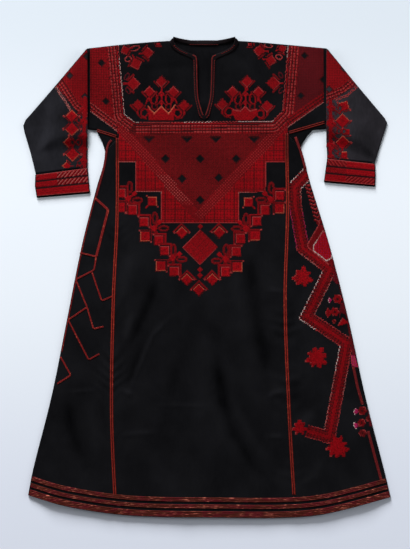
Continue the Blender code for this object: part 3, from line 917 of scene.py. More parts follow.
# ---- cross-stitch ----------------------------------------------------------------------
@dataclass
class Canvas:
    """A lattice of square stitches over one face of the dress.

    Attributes:
        name: the piece that it becomes.
        corners_x, corners_y: plan places of the lattice's corners, rows from low to high.
        top: the cloth's height as a function of place.
        code: each cell's thread, 0 where it is bare.
    """

    name: str
    corners_x: Array
    corners_y: Array
    top: Surface

    def __post_init__(self) -> None:
        """Works out the cells' middles and starts them bare."""
        self.x = (self.corners_x[:-1, :-1] + self.corners_x[1:, 1:]) / 2
        self.y = (self.corners_y[:-1, :-1] + self.corners_y[1:, 1:]) / 2
        rows, columns = self.x.shape
        self.j, self.i = np.meshgrid(np.arange(rows), np.arange(columns), indexing="ij")
        self.code = np.zeros((rows, columns), dtype=np.int8)

    @classmethod
    def upright(cls, name: str, low: Spot, high: Spot, top: Surface) -> Canvas:
        """A lattice along x and y whose lines fall on whole pitches from the origin.

        Args:
            name: the piece that it becomes.
            low, high: two corners that it has to reach.
            top: the cloth's height.

        Returns:
            The bare canvas.
        """
        first = [math.floor(value / PITCH) for value in low]
        last = [math.ceil(value / PITCH) for value in high]
        xs, ys = (np.arange(a, b + 1) * PITCH for a, b in zip(first, last))
        return cls(name, *np.meshgrid(xs, ys), top)

    def cover(self, where: Array, thread: Thread | None) -> None:
        """Stitches every cell of a mask; None leaves it bare."""
        self.code[where] = thread.code if thread else 0

    def trail(self, places: Places, half: float, thread: Thread) -> None:
        """Stitches the cells within half a width of a broken line."""
        self.cover(nearest(places, self.x, self.y)[0] < half, thread)

    def stitch(self, finish: Material, seed: int, lift: float = 0.55) -> Piece:
        """Makes the stitches.

        Each covered cell is a low pillow of four triangles. Its middle stands `lift` above
        the cloth, its corners a little less, and a corner next to a bare cell comes down to
        the cloth. Each cell's colour is its thread's, a little lighter or darker at random, with
        painted shade that darkens its left and right triangles by a fifth.

        Args:
            finish: the thread's material.
            seed: for the colours.
            lift: how far the stitches stand up, in millimetres.

        Returns:
            The piece.
        """
        full = self.code > 0
        padded = np.pad(full, 1)
        held = padded[:-1, :-1] & padded[1:, :-1] & padded[:-1, 1:] & padded[1:, 1:]
        base = self.top(self.corners_x, self.corners_y)
        z = base + np.where(held, lift * 0.55, 0.04)
        corners = np.stack([self.corners_x, self.corners_y, z], axis=-1).reshape(-1, 3)
        middle = np.stack([self.x, self.y, self.top(self.x, self.y) + lift], axis=-1)[full]
        columns = full.shape[1] + 1
        first = (self.j * columns + self.i)[full]
        ring = np.stack([first, first + 1, first + columns + 1, first + columns], axis=-1)
        used, ring = np.unique(ring, return_inverse=True)
        ring = ring.reshape(-1, 4)
        heart = len(used) + np.arange(len(middle))
        faces = np.stack(
            [ring, np.roll(ring, -1, axis=1), np.broadcast_to(heart[:, None], ring.shape)], axis=-1
        )
        piece = make_mesh(self.name, np.concatenate([corners[used], middle]), faces.reshape(-1, 3))
        colours = np.array([linear(*thread.value) for thread in Thread])
        random = np.random.default_rng(seed)
        batch = 1 + 0.10 * np.sin(self.x / 47 + self.y / 31)[full]
        batch = batch + 0.05 * random.standard_normal(len(middle))
        # painted shade: each stitch's left and right triangles are a fifth darker than its top and bottom
        # ones
        leg_shade = np.tile([1.0, 0.8, 1.0, 0.8], (len(middle), 1))
        dye = colours[self.code[full] - 1][:, None] * (batch[:, None] * leg_shade)[:, :, None]
        rgba = np.ones((len(middle), 4, 3, 4))
        rgba[..., :3] = dye[:, :, None]
        layer = piece.data.color_attributes.new("thread", "FLOAT_COLOR", "CORNER")
        layer.data.foreach_set("color", rgba.astype(np.float32).ravel())
        piece.data.polygons.foreach_set("use_smooth", np.zeros(len(piece.data.polygons), dtype=bool))
        return finish_piece(piece, finish, "silk_embroidery")


# ---- the embroidery's layout -----------------------------------------------------------
YOKE_EDGE = (
    (-259, 705), (-257, 676), (-239, 477), (-209, 454), (190, 457), (219, 486), (234, 670), (237, 705)
)
FIELD_STEPS = (
    (-429, 723), (-429, 339), (-207, 339), (-207, 253), (-131, 251), (-131, 161),
    (91, 161), (92, 250), (169, 251), (171, 339), (418, 339), (418, 723),
)
V_LEFT = ((-277, 466), (-18, 168))
V_RIGHT = ((269, 495), (-26, 177))
GROUPS = (
    ((-230, 231), ((-251, 246), (-253, 205), (-217, 197)), (-225, 263), (-203, 225), (-211, 244)),
    ((-154, 143), ((-184, 162), (-180, 120), (-140, 108)), (-152, 173), (-126, 143), (-138, 161)),
    ((-100, 57), ((-124, 78), (-134, 34), (-96, 18)), (-98, 80), (-74, 53), (-80, 69)),
    ((185, 229), ((213, 239), (211, 201), (169, 197)), (188, 261), (158, 226), (169, 245)),
    ((114, 143), ((145, 164), (140, 122), (98, 113)), (114, 170), (87, 142), (96, 160)),
    ((54, 54), ((86, 75), (88, 31), (54, 17)), (56, 80), (28, 48), (36, 67)),
)
LONE_TULIPS = (((-160, 222), 45), ((121, 220), 135))
SMALL_DIAMONDS = ((-74, 131), (35, 132), (-58, -6), (15, -6), (-23, -36))
CLUSTERS = (
    (-133, ((-133, 571), (-168, 541), (-98, 541), (-201, 502), (-67, 501)), False),
    (112, ((117, 572), (75, 541), (150, 540), (45, 505), (175, 499)), True),
)
BOWL = (
    (-27.55, 459.1), (-37.7, 475.05), (-36.25, 489.55), (-14.5, 485.2), (0, 498.25), (14.5, 485.2),
    (33.35, 491), (34.8, 473.6), (20.3, 459.1),
)
POT = (
    (-37.7, 459.1), (-39.15, 499.7), (-21.17, 477.95), (0, 499.7), (20.88, 477.95), (39.15, 502.6),
    (37.7, 459.1),
)
CORNERS = (
    ((-173, 655), 5, 18), ((-207, 624), 290, 19), ((-238, 663), 200, 15), ((-142, 684), 45, 9),
    ((153, 661), 175, 18), ((186, 633), 350, 17), ((220, 668), 20, 14), ((126, 681), 135, 9),
)
CORNER_CROOKS = (
    ((-212, 668), 14, 5, 16), ((-230, 637), 8, 5.5, 20), ((179, 676), 10, 4, 170), ((210, 643), 8, 5, 160),
    ((-234, 586), 9, 3.4, 60), ((-230, 545), 9, 3.4, 120), ((215, 590), 7, 3.2, 120),
    ((216, 545), 7, 3.2, 60),
)
SIDE_ROSES = (((-215, 565), 0, 1), ((194, 567), 180, -1))
DARK_DIAMONDS = ((-121, 346), (-20, 346), (85, 346), (-73, 288), (34, 291), (-20, 226))
HALF_DIAMONDS = ((-169, 409), (-58, 409), (26, 409), (137, 409))
SLEEVE_DIAMONDS = ((-308, 626), (-295, 514), (285, 647), (274, 530), (339, 577))


def squares(along: Array, across: Array, every: int) -> Array:
    """Mask of the lines of a square net, in whole cells, laid along two directions."""
    a, b = np.floor(along / PITCH).astype(int), np.floor(across / PITCH).astype(int)
    return (a % every == 0) | (b % every == 0)


def spots(along: Array, across: Array, every: int) -> Array:
    """Mask of single cells, one in each square of a net."""
    a, b = np.floor(along / PITCH).astype(int), np.floor(across / PITCH).astype(int)
    return (a % every == 0) & (b % every == 0)


def zigzag(along: Array, outwards: Array) -> Array:
    """Mask of a thin zigzag along a line, from the line outwards."""
    swing = np.abs((along / (PITCH * 4)) % 1 - 0.5) * 2
    return np.abs(outwards - 0.4 * PITCH - swing * PITCH * 0.9) < PITCH * 0.42


def diamond(canvas: Canvas, at: Spot, half: float, fill: Thread | None, rim: Thread | None = None) -> None:
    """A square on its corner, half wide, with a rim one cell thick.

    Args:
        canvas: its ground.
        at: its middle.
        half: half its width.
        fill, rim: their threads; None leaves the cells bare, or the rim out.
    """
    away = np.abs(canvas.x - at[0]) + np.abs(canvas.y - at[1])
    if rim:
        canvas.cover((away < half + PITCH) & (away >= half), rim)
    canvas.cover(away < half, fill)


def tulip(
    canvas: Canvas, at: Spot, half: float, facing: float, rim: int = 1, bars: float = 3.8,
    stem: float = 0.4, fill: Thread = SCARLET, edging: Thread = CORAL,
) -> None:
    """A flower as a square that stands on its corner and points one way.

    Deep red bars run along its back sides, apart from it, an ear stands off each side
    corner, and its front sides are toothed.

    Args:
        canvas: its ground.
        at: its middle.
        half: from its middle to its corners, in millimetres.
        facing: the way that it points, in degrees against the clock from the right.
        rim: 1 for a coral rim on its front sides, -1 on its back sides, 0 for none.
        bars: how thick the bars are; 0 leaves them out.
        stem: half the gap between them, as a share of half.
        fill: its thread.
        edging: the rim's thread.
    """
    cover = canvas.cover
    turn = math.radians(facing)
    dx, dy = canvas.x - at[0], canvas.y - at[1]
    p = dx * math.cos(turn) + dy * math.sin(turn)
    q = np.abs(-dx * math.sin(turn) + dy * math.cos(turn))
    away = np.abs(p) + q
    cover((away < half + 2.6) & (away >= half), None)
    back = (away >= half + 2.6) & (p < 0) & (q >= stem * half)
    cover(back & (away < half + 2.6 + bars), DEEP)
    cover(back & (away >= half + 6.6) & (away < half + 0.6 + bars), RED)
    ear = DUSTY if fill is SCARLET else DEEP
    cover((np.abs(p) + np.abs(q - 1.2 * half)) < 0.2 * half, ear)
    teeth = (away >= half) & (away < half + 3) & (p > 0) & (np.floor((p - q) / PITCH) % 3 == 0)
    cover(teeth, DEEP)
    if stem:
        cover((q < 0.14 * half) & (p < 0) & (p > -1.5 * half), RED)
    cover(away < half, fill)
    cover(away < 0.35 * half, RED)
    edge = (away < half) & (away > half - 2.4)
    cover(edge, DEEP)
    if rim:
        cover(edge & (rim * p > 0), edging)


def crook(
    canvas: Canvas, at: Spot, long: float, wide: float, angle: float, thread: Thread, rim: float = 3.2
) -> None:
    """A black lens with a line of stitches round it, turned against the clock in degrees.

    Args:
        canvas: its ground.
        at: its middle.
        long, wide: the lens's two half widths.
        angle: how far it is turned.
        thread: the line's.
        rim: the line's thickness.
    """
    turn = math.radians(angle)
    dx, dy = canvas.x - at[0], canvas.y - at[1]
    p, q = dx * math.cos(turn) + dy * math.sin(turn), -dx * math.sin(turn) + dy * math.cos(turn)
    inner = np.hypot(p / long, q / wide)
    outer = np.hypot(p / (long + rim), q / (wide + rim))
    canvas.cover(outer < 1, thread)
    canvas.cover(inner < 1, None)


def star(canvas: Canvas, at: Spot, reach: float, points: int, turn: float) -> None:
    """A solid star of broad, uneven points, with rose tips on its left.

    Args:
        canvas: its ground.
        at: its middle.
        reach: to its longest points, in millimetres.
        points: how many.
        turn: in radians.
    """
    cover = canvas.cover
    dx, dy = (np.round(d / 3.6) * 3.6 for d in (canvas.x - at[0], canvas.y - at[1]))
    away, angle = np.hypot(dx, dy), np.arctan2(dy, dx) + turn
    edge = reach * (0.80 + 0.15 * np.tanh(1.6 * np.cos(points * angle)) + 0.09 * np.cos(3 * angle + 1))
    cover(away < edge, SCARLET)
    cover((away < edge) & (away > edge - 3), RED)
    cover((away < edge) & (away > edge - 2.6) & (dx < -0.35 * reach), DUSTY)
    ring = (away > 0.45 * reach) & (away < 0.75 * reach)
    cover(ring & (np.sin(points * 2 * angle) > 0.86), DEEP)
    cover(away < 2, DEEP)


def rosette(canvas: Canvas, at: Spot, reach: float, thread: Thread) -> None:
    """Six shallow petals with dusty tips about a dark eye.

    Args:
        canvas: its ground.
        at: its middle.
        reach: to its petals' tips.
        thread: its own.
    """
    dx, dy = canvas.x - at[0], canvas.y - at[1]
    away, angle = np.hypot(dx, dy), np.arctan2(dy, dx)
    edge = reach * (0.90 + 0.10 * np.cos(6 * angle + 0.4))
    canvas.cover(away < edge, thread)
    canvas.cover((away < edge) & (away > edge - 2.2) & (dx * dy > 0), DUSTY)
    canvas.cover(away < 0.26 * reach, SHADE)


def fan(canvas: Canvas, at: Spot, reach: float, facing: float, thread: Thread) -> None:
    """A quarter circle with its point at `at` and pale tips, opening one way in degrees.

    Args:
        canvas: its ground.
        at: its point.
        reach: its radius.
        facing: the way that it opens.
        thread: its own.
    """
    dx, dy = canvas.x - at[0], canvas.y - at[1]
    away = np.hypot(dx, dy)
    off = np.abs((np.degrees(np.arctan2(dy, dx)) - facing + 180) % 360 - 180)
    within = (away < reach) & (off < 50)
    canvas.cover(within, thread)
    tips = within & (away > reach - 2.6) & (np.floor(off / 16) % 2 == 0)
    canvas.cover(tips, DUSTY if thread is RED else PALE)


def net_rows(canvas: Canvas, mask: Array, along: Array, across: Array, bright: Thread) -> None:
    """A fine net of short strokes in two reds, with dark lines between.

    Args:
        canvas: its ground.
        mask: where.
        along, across: distances in the net's two directions.
        bright: the lighter strokes' thread.
    """
    a, b = along / PITCH % 3.7, across / PITCH % 3.7
    canvas.cover(mask, GARNET)
    canvas.cover(mask & (b < 1.1), SHADE)
    canvas.cover(mask & (a > 1.2) & (b >= 1.1) & (b < 2.5), bright)
    canvas.cover(mask & (a > 1.2) & (b >= 2.5), RED)


def netted(canvas: Canvas, within: Array, base: Thread, net: Thread) -> None:
    """One red within a mask, with a faint net in another."""
    canvas.cover(within, base)
    canvas.cover(within & squares(canvas.x, canvas.y, 3), net)


def stitch_field(canvas: Canvas) -> None:
    """The solid red of chest and shoulders: netted scarlet, a dark V and its dotted bands.

    A thin rose line runs round its stepped lower edge.

    Args:
        canvas: its ground.
    """
    x, y, i, j, cover = canvas.x, canvas.y, canvas.i, canvas.j, canvas.cover
    within = inside(FIELD_STEPS, x, y)
    cover(within, SCARLET)
    cover(within & squares(x, y, 4), RED)
    cover(within & spots(x, y, 4), SHADE)
    cover(within & squares(x + 7.2, y + 4.8, 12), GARNET)
    left, right = (nearest(line, x, y) for line in (V_LEFT, V_RIGHT))
    inner = within & (left[2] > 0) & (right[2] < 0)
    cover(inner, GARNET)
    cover(inner & squares(x, y, 3), DEEP)
    cover(inner & spots(x, y, 6), SHADE)
    for away, along, side in (left, right):
        beside = within & (away < 14.4) & (along > 0.1) & (along < along.max() - 0.1)
        with_it, against = (i + j, i - j) if side is left[2] else (i - j, i + j)
        cover(beside, RED)
        cover(beside & ((with_it % 4 == 0) | (against % 4 == 0)), GARNET)
        crossings = beside & (with_it % 4 == 2) & (against % 4 == 2)
        cover(crossings, DUSTY)
        if side is left[2]:
            cover(crossings & (y < 299) & (y > 220), ROSE)
            cover(crossings & (y < 212), DEEP)
    for at in DARK_DIAMONDS:
        diamond(canvas, at, 14, SHADE)
        diamond(canvas, at, 11, None)
    for at in HALF_DIAMONDS:
        away = np.abs(x - at[0]) + np.abs(y - at[1])
        cover((away < 18) & (y < at[1] + 3), SHADE)
        cover((away < 14) & (y < at[1]), None)
        cover((away < 5) & (y < at[1]), SHADE)
    edge = (nearest(FIELD_STEPS[1:-1], x, y)[0] < 2.3) & ~within
    cover(edge, DUSTY)
    cover(edge & (y > 244) & (x < 126) & (i % 3 < 2), ROSE)


def stitch_yoke_edge(canvas: Canvas) -> None:
    """Rows that follow the black yoke's outline: zigzag, red line, dotted line and net.

    Args:
        canvas: its ground.
    """
    x, y, cover = canvas.x, canvas.y, canvas.cover
    away, along, _ = nearest(YOKE_EDGE, x, y)
    out = np.where(inside(YOKE_EDGE, x, y), -away, away)
    cover(out < 0, None)
    pale = ((x < -196) & (y < 641)) | ((x > 184) & (y > 641))
    pale |= (y < 489) & (((x > -70) & (x < 15)) | ((x > 91) & (x < 196)))
    net_rows(canvas, (out >= 0) & (out < 36), along, out, DUSTY)
    cover((out >= 0) & (out < 4.8), None)
    cover(zigzag(along, out), DUSTY)
    cover(zigzag(along, out) & pale, ROSE)
    cover(zigzag(along, out) & pale & (np.floor(along / PITCH) % 2 == 0), PALE)
    cover((out >= 4.8) & (out < 8.4), RED)
    cover((out >= 8.4) & (out < 10.8), DEEP)
    cover((out >= 8.4) & (out < 10.8) & (np.floor(along / PITCH) % 3 < 2), None)


def stitch_cluster(canvas: Canvas, middle: float, flowers: Places, bowl: bool) -> None:
    """A plant of five tulips on a broad foot.

    A stem of small diamonds stands between two tall lenses. The lower pair of tulips have
    stems that curl round a lens of their own.

    Args:
        canvas: its ground.
        middle: x of its stem.
        flowers: the top tulip, the middle pair and the low pair.
        bowl: whether its foot is a bowl, and not a zigzag pot.
    """
    for side, low in ((-1, flowers[3]), (1, flowers[4])):
        crook(canvas, (middle + side * 21, 520), 13, 6, 90 + side * 12, RED, 5)
        crook(canvas, (middle + side * 20, 498.25), 6, 7, 0, DEEP, 3.6)
        crook(canvas, (low[0] - side * 19, low[1] - 22), 9, 8, 90 + side * 25, RED, 5)
        curl = ((0, 0), (3, -24), (-8, -36), (-24, -39))
        canvas.trail([(low[0] + side * dx, low[1] + dy) for dx, dy in curl], 1.9, DEEP)
        canvas.trail(((middle + side * 36, 528.7), (middle + side * 45, 508.4)), 2.2, RED)
    canvas.trail(((middle, 554.8), (middle, 496.8)), 2.4, RED)
    for high, half in ((535.08, 10), (509.85, 8.5)):
        diamond(canvas, (middle, high), half, SCARLET)
        wings = ((middle - 17, high - 8.7), (middle, high + 2.9), (middle + 17, high - 8.7))
        canvas.trail(wings, 1.9, DEEP)
    for k, at in enumerate(flowers):
        rim = -1 if k == 0 or (bowl and k > 2) else 1 if k < 3 else 0
        tulip(canvas, at, 17.5, 90, rim, 5, 0.35, RED, DUSTY)
    foot = tuple((middle + dx, y) for dx, y in (BOWL if bowl else POT))
    rim = foot[2:7] if bowl else foot[1:6]
    within = inside(foot, canvas.x, canvas.y)
    canvas.cover(within, SCARLET)
    canvas.cover(within & squares(canvas.x + canvas.y, canvas.x - canvas.y, 4), RED)
    canvas.trail(rim, 1.7, DUSTY if bowl else CORAL)


def stitch_yoke(canvas: Canvas) -> None:
    """Tulip plants, corner flowers and side roses on the black yoke.

    Args:
        canvas: its ground.
    """
    x, y = canvas.x, canvas.y
    bare = canvas.code.copy()
    for cluster in CLUSTERS:
        stitch_cluster(canvas, *cluster)
    for k, (at, long, wide, angle) in enumerate(CORNER_CROOKS):
        crook(canvas, at, long, wide, angle, DUSTY if k < 4 else WINE)
    for at, facing, half in CORNERS:
        tulip(canvas, at, half, facing, 1, 6, 0.4, RED, DUSTY)
    for at, facing, rim in SIDE_ROSES:
        tulip(canvas, at, 21, facing, rim, 6, 0.4, RED, DUSTY)
    outside = ~inside(YOKE_EDGE, x, y) | (nearest(YOKE_EDGE, x, y)[0] < 2.5)
    canvas.code[outside] = bare[outside]


def stitch_flowers(canvas: Canvas) -> None:
    """The pointed border of tulips below the red, with its big diamond.

    Args:
        canvas: its ground.
    """
    for k, (centre, (high, low, near), upper, inner, sprout) in enumerate(GROUPS):
        away = 225 if k < 3 else 315
        crook(canvas, upper, 11.5, 3, 90, DEEP, 7.2)
        crook(canvas, inner, 10, 3.2, 0, DEEP, 6.6)
        for at, half, rim, bars in ((high, 18.5, -1, 10), (near, 19, -1, 10), (low, 20, 1, 5.5)):
            canvas.trail((centre, at), 4.8, DEEP)
            tulip(canvas, at, half, away, rim, bars, 0, edging=DUSTY if rim < 0 else CORAL)
        canvas.trail((centre, sprout), 3.6, RED)
        diamond(canvas, centre, 10.5, SCARLET)
        diamond(canvas, sprout, 8.5, SCARLET)
    for at, facing in LONE_TULIPS:
        tulip(canvas, at, 18.5, facing, 1, 0)
    for at in SMALL_DIAMONDS:
        tulip(canvas, at, 18, 270, -1, 8, 0)
    for at in ((-20, 149), (-20, 6), (-20, 23)):
        diamond(canvas, at, 8.5, RED)
    big = (-20, 88)
    diamond(canvas, big, 50, RED, DEEP)
    away = np.abs(canvas.x - big[0]) + np.abs(canvas.y - big[1])
    lower = (canvas.y < big[1] - 4) | (canvas.x < big[0])
    canvas.cover((away >= 50) & (away < 52.4) & lower, DUSTY)
    canvas.cover((away < 50) & spots(canvas.x, canvas.y, 3), SCARLET)
    canvas.cover((away < 50) & squares(canvas.x + canvas.y, canvas.x - canvas.y, 8), DEEP)


def stitch_chest(canvas: Canvas) -> None:
    """The whole front: field, yoke and flowers, in the order that they cover each other.

    Args:
        canvas: its ground.
    """
    stitch_field(canvas)
    stitch_yoke_edge(canvas)
    stitch_yoke(canvas)
    stitch_flowers(canvas)


# ---- the dress's parts -----------------------------------------------------------------
@dataclass
class Made:
    """What the parts share while they are built."""

    finishes: Finishes
    nodes: dict[str, Piece]


def quarter(count: int) -> tuple[Array, Array]:
    """Insets and height shares round a fold's quarter ellipse, from the fold inwards."""
    angle = np.linspace(0, math.pi / 2, count)
    return TURN * (1 - np.cos(angle)), np.maximum(np.sin(angle), 0.06)


def settle(x_at: Callable[[Array], Array], y_at: Callable[[Array], Array], y: Array) -> tuple[Array, Array]:
    """Where columns x(y) and rows y(x) cross, by trying each in turn four times.

    Args:
        x_at, y_at: the two courses.
        y: a first guess, which also gives the grid's rows.

    Returns:
        x and y of each crossing.
    """
    for _ in range(4):
        x = x_at(y)
        y = y_at(x)
    return x, y


def body_points(x: Array, y: Array, share: Array, front: bool) -> Array:
    """Places on the front's outer face or the back's, both coming to MID as share falls to 0."""
    top = mix(MID, front_top(x, y), share) if front else MID * (1 - share) + 0 * x
    return np.stack([x, y, top], axis=-1)


def body_cloth(
    name: str, points: Array, front: bool, made: Made, keep: Array | None = None, *more: str
) -> Piece:
    """The shell of one piece of the body.

    Args:
        name, more: the nodes that it stands for.
        points: the grid of its outer face.
        front: whether it is part of the front, which gets painted light and shade on its folds.
        made: what the parts share.
        keep: mask of the quads to keep, if some are cut away.

    Returns:
        The piece.
    """
    piece = thicken(grid_piece(name + "_cloth", points, keep=keep))
    if front:
        # the front's folds get painted highlight and painted shade
        return finish_piece(paint_fold_light(piece), made.finishes.front_cotton, "black_cotton", name, *more)
    return finish_piece(piece, made.finishes.cotton, "black_cotton", name)


@dataclass
class BodyPanel:
    """One loom width of cloth from the hem to the shoulders, front or back."""

    columns: int
    rows: int
    front: bool
    turn_rows: int = 6

    def grid(self) -> Array:
        """Points between the two seams, from the hem up, with the shoulder's turn on top.

        Returns:
            rows x columns x 3 places.
        """
        inset, share = (k[::-1][1:] for k in quarter(self.turn_rows))
        u = np.linspace(0, 1, self.columns)[None]
        v = np.linspace(0, 1, self.rows)[:, None]
        inset, share = (np.concatenate([start, k])[:, None] for start, k in
                        ((np.full(self.rows, TURN), inset), (np.ones(self.rows), share)))
        v = np.concatenate([v, np.ones((len(inset) - self.rows, 1))])

        def x_at(y: Array) -> Array:
            """Columns spread between the seams."""
            return mix(SEAM[-1](y) + SEAM_GAP, SEAM[1](y) - SEAM_GAP, u)

        def y_at(x: Array) -> Array:
            """Rows spread from the hem to the shoulders."""
            return mix(HEM(x), SHOULDER(x) - inset, v)

        return body_points(*settle(x_at, y_at, np.zeros((len(v), 1))), share, self.front)

    def build(self, made: Made, opening: Neck | None) -> Piece:
        """The panel, with the neck opening cut out of a front.

        Args:
            made: what the parts share.
            opening: the neck, for a front.

        Returns:
            The piece.
        """
        points = self.grid()
        keep = None
        if opening:
            middle = (points[:-1, :-1] + points[1:, 1:]) / 2
            keep = ~inside(opening.outline(5), middle[..., 0], middle[..., 1]).ravel()
        if self.front:
            return body_cloth("front_panel", points, True, made, keep, "front_yoke")
        return body_cloth("back_panel", points[:, ::-1], False, made)


@dataclass
class Gore:
    """Half of a side gore, from the folded side to the panel's seam."""

    side: int
    front: bool
    columns: int
    rows: int

    def grid(self) -> Array:
        """Points from the fold to the seam, from the hem up.

        Returns:
            rows x columns x 3 places.
        """
        inset, share = quarter(6)
        across = np.concatenate([np.zeros(6), np.linspace(0, 1, self.columns)[1:]])[None]
        inset = np.concatenate([inset, np.full(self.columns - 1, TURN)])[None]
        share = np.concatenate([share, np.ones(self.columns - 1)])[None]
        v = np.linspace(0, 1, self.rows)[:, None]

        def x_at(y: Array) -> Array:
            """Columns spread from the folded side to the seam."""
            near, far = SIDE[self.side](y) - self.side * inset, SEAM[self.side](y) + self.side * SEAM_GAP
            return mix(near, far, across)

        def y_at(x: Array) -> Array:
            """Rows spread from the hem to the gore's head."""
            return mix(HEM(x), skirt_top(x), v)

        return body_points(*settle(x_at, y_at, np.zeros((self.rows, 1))), share, self.front)

    def build(self, made: Made) -> Piece:
        """The half gore's cloth.

        Args:
            made: what the parts share.

        Returns:
            The piece.
        """
        points = self.grid()
        if (self.side > 0) == self.front:
            points = points[:, ::-1]
        name = f"{'front' if self.front else 'back'}_gore_{'left' if self.side < 0 else 'right'}"
        return body_cloth(name, points, self.front, made)


@dataclass
class FlatTube:
    """A sleeve's stretch: a flattened tube between two plan lines.

    Attributes:
        first, last: n x 2 places of its two folded edges, station by station.
        height: how thick it lies.
        under: height of what it lies on.
        relief: extra height of its upper face.
        drop: how far the back layer sticks out below, at each station.
    """

    first: Array
    last: Array
    height: float
    under: Surface
    relief: Surface
    drop: Array
    columns: int = 30

    def grid(self) -> Array:
        """Rings of points, each over the top from first to last and back underneath.

        Returns:
            stations x points x 3 places.
        """
        width = np.linalg.norm(self.last - self.first, axis=1)[:, None]
        angle = np.linspace(0, math.pi / 2, 6)[None]
        turn = np.minimum(TURN, width / 4)
        inner = mix(turn, width - turn, np.linspace(0, 1, self.columns)[None, 1:-1])
        near, rise = turn * (1 - np.cos(angle)), 0.5 + 0.5 * np.sin(angle)
        over = np.concatenate([near, inner, width - near[:, ::-1]], axis=1)
        level = np.concatenate([rise[0], np.ones(self.columns - 2), rise[0, ::-1]])
        d = np.concatenate([over, over[:, -2:0:-1]], axis=1)
        share = np.concatenate([level, 1 - level[-2:0:-1]])[None]
        t = d / width
        x = mix(self.first[:, :1], self.last[:, :1], t)
        y = mix(self.first[:, 1:], self.last[:, 1:], t) - self.drop[:, None] * (1 - share)
        edge = np.minimum(d, width - d)
        z = self.under(x, y) + share * (self.height + self.relief(x, y) * ease(edge / 25))
        return np.stack([x, y, z], axis=-1)

    def top(self, x: Array, y: Array) -> Array:
        """Height of the upper face at a place, rounded off at the edges as an ellipse.

        Args:
            x, y: plan places.

        Returns:
            z there.
        """
        edge = np.minimum(nearest(self.first, x, y)[0], nearest(self.last, x, y)[0])
        fall = np.sqrt(np.clip(1 - (1 - np.minimum(edge, TURN) / TURN) ** 2, 0, 1))
        return self.under(x, y) + self.height * (0.5 + 0.5 * fall) + self.relief(x, y) * ease(edge / 25)

    def build(self, name: str, node: str, slot: str, finish: Material) -> Piece:
        """The stretch's cloth, all round."""
        piece = thicken(grid_piece(name, self.grid(), wrap=True))
        return finish_piece(piece, finish, slot, node)


def level(x: Array, y: Array) -> Array:
    """The table, or no relief."""
    return 0 * x + 0 * y


def laid_flat(x: Array, y: Array) -> Array:
    """The front where it lies flattest."""
    return LAID + level(x, y)


def filled(places: Places, steps: int) -> Array:
    """The places with each stretch between them cut into so many straight steps.

    Args:
        places: the places.
        steps: how many for each stretch.

    Returns:
        n x 2 places.
    """
    places = np.array(places, dtype=float)
    at = np.linspace(0, len(places) - 1, (len(places) - 1) * steps + 1)
    return np.stack([np.interp(at, np.arange(len(places)), column) for column in places.T], axis=-1)


@dataclass
class ForearmWork:
    """Where a forearm's embroidery lies.

    Attributes:
        low, high: corners of its canvas.
        region, edge: the netted red, and its lower border.
        dark: middles of the diamonds in it.
        strip, filler_top: the line beside the fold, and how far up its filling goes.
        halves: middle and half width of the diamonds along that line.
        tulips: middle, way that it points and half width of each.
        crooks: middles.
    """

    low: Spot
    high: Spot
    region: Places
    edge: Places
    dark: Places
    strip: Places
    filler_top: float
    halves: tuple[tuple[Spot, float], ...]
    tulips: tuple[tuple[Spot, float, float], ...]
    crooks: Places


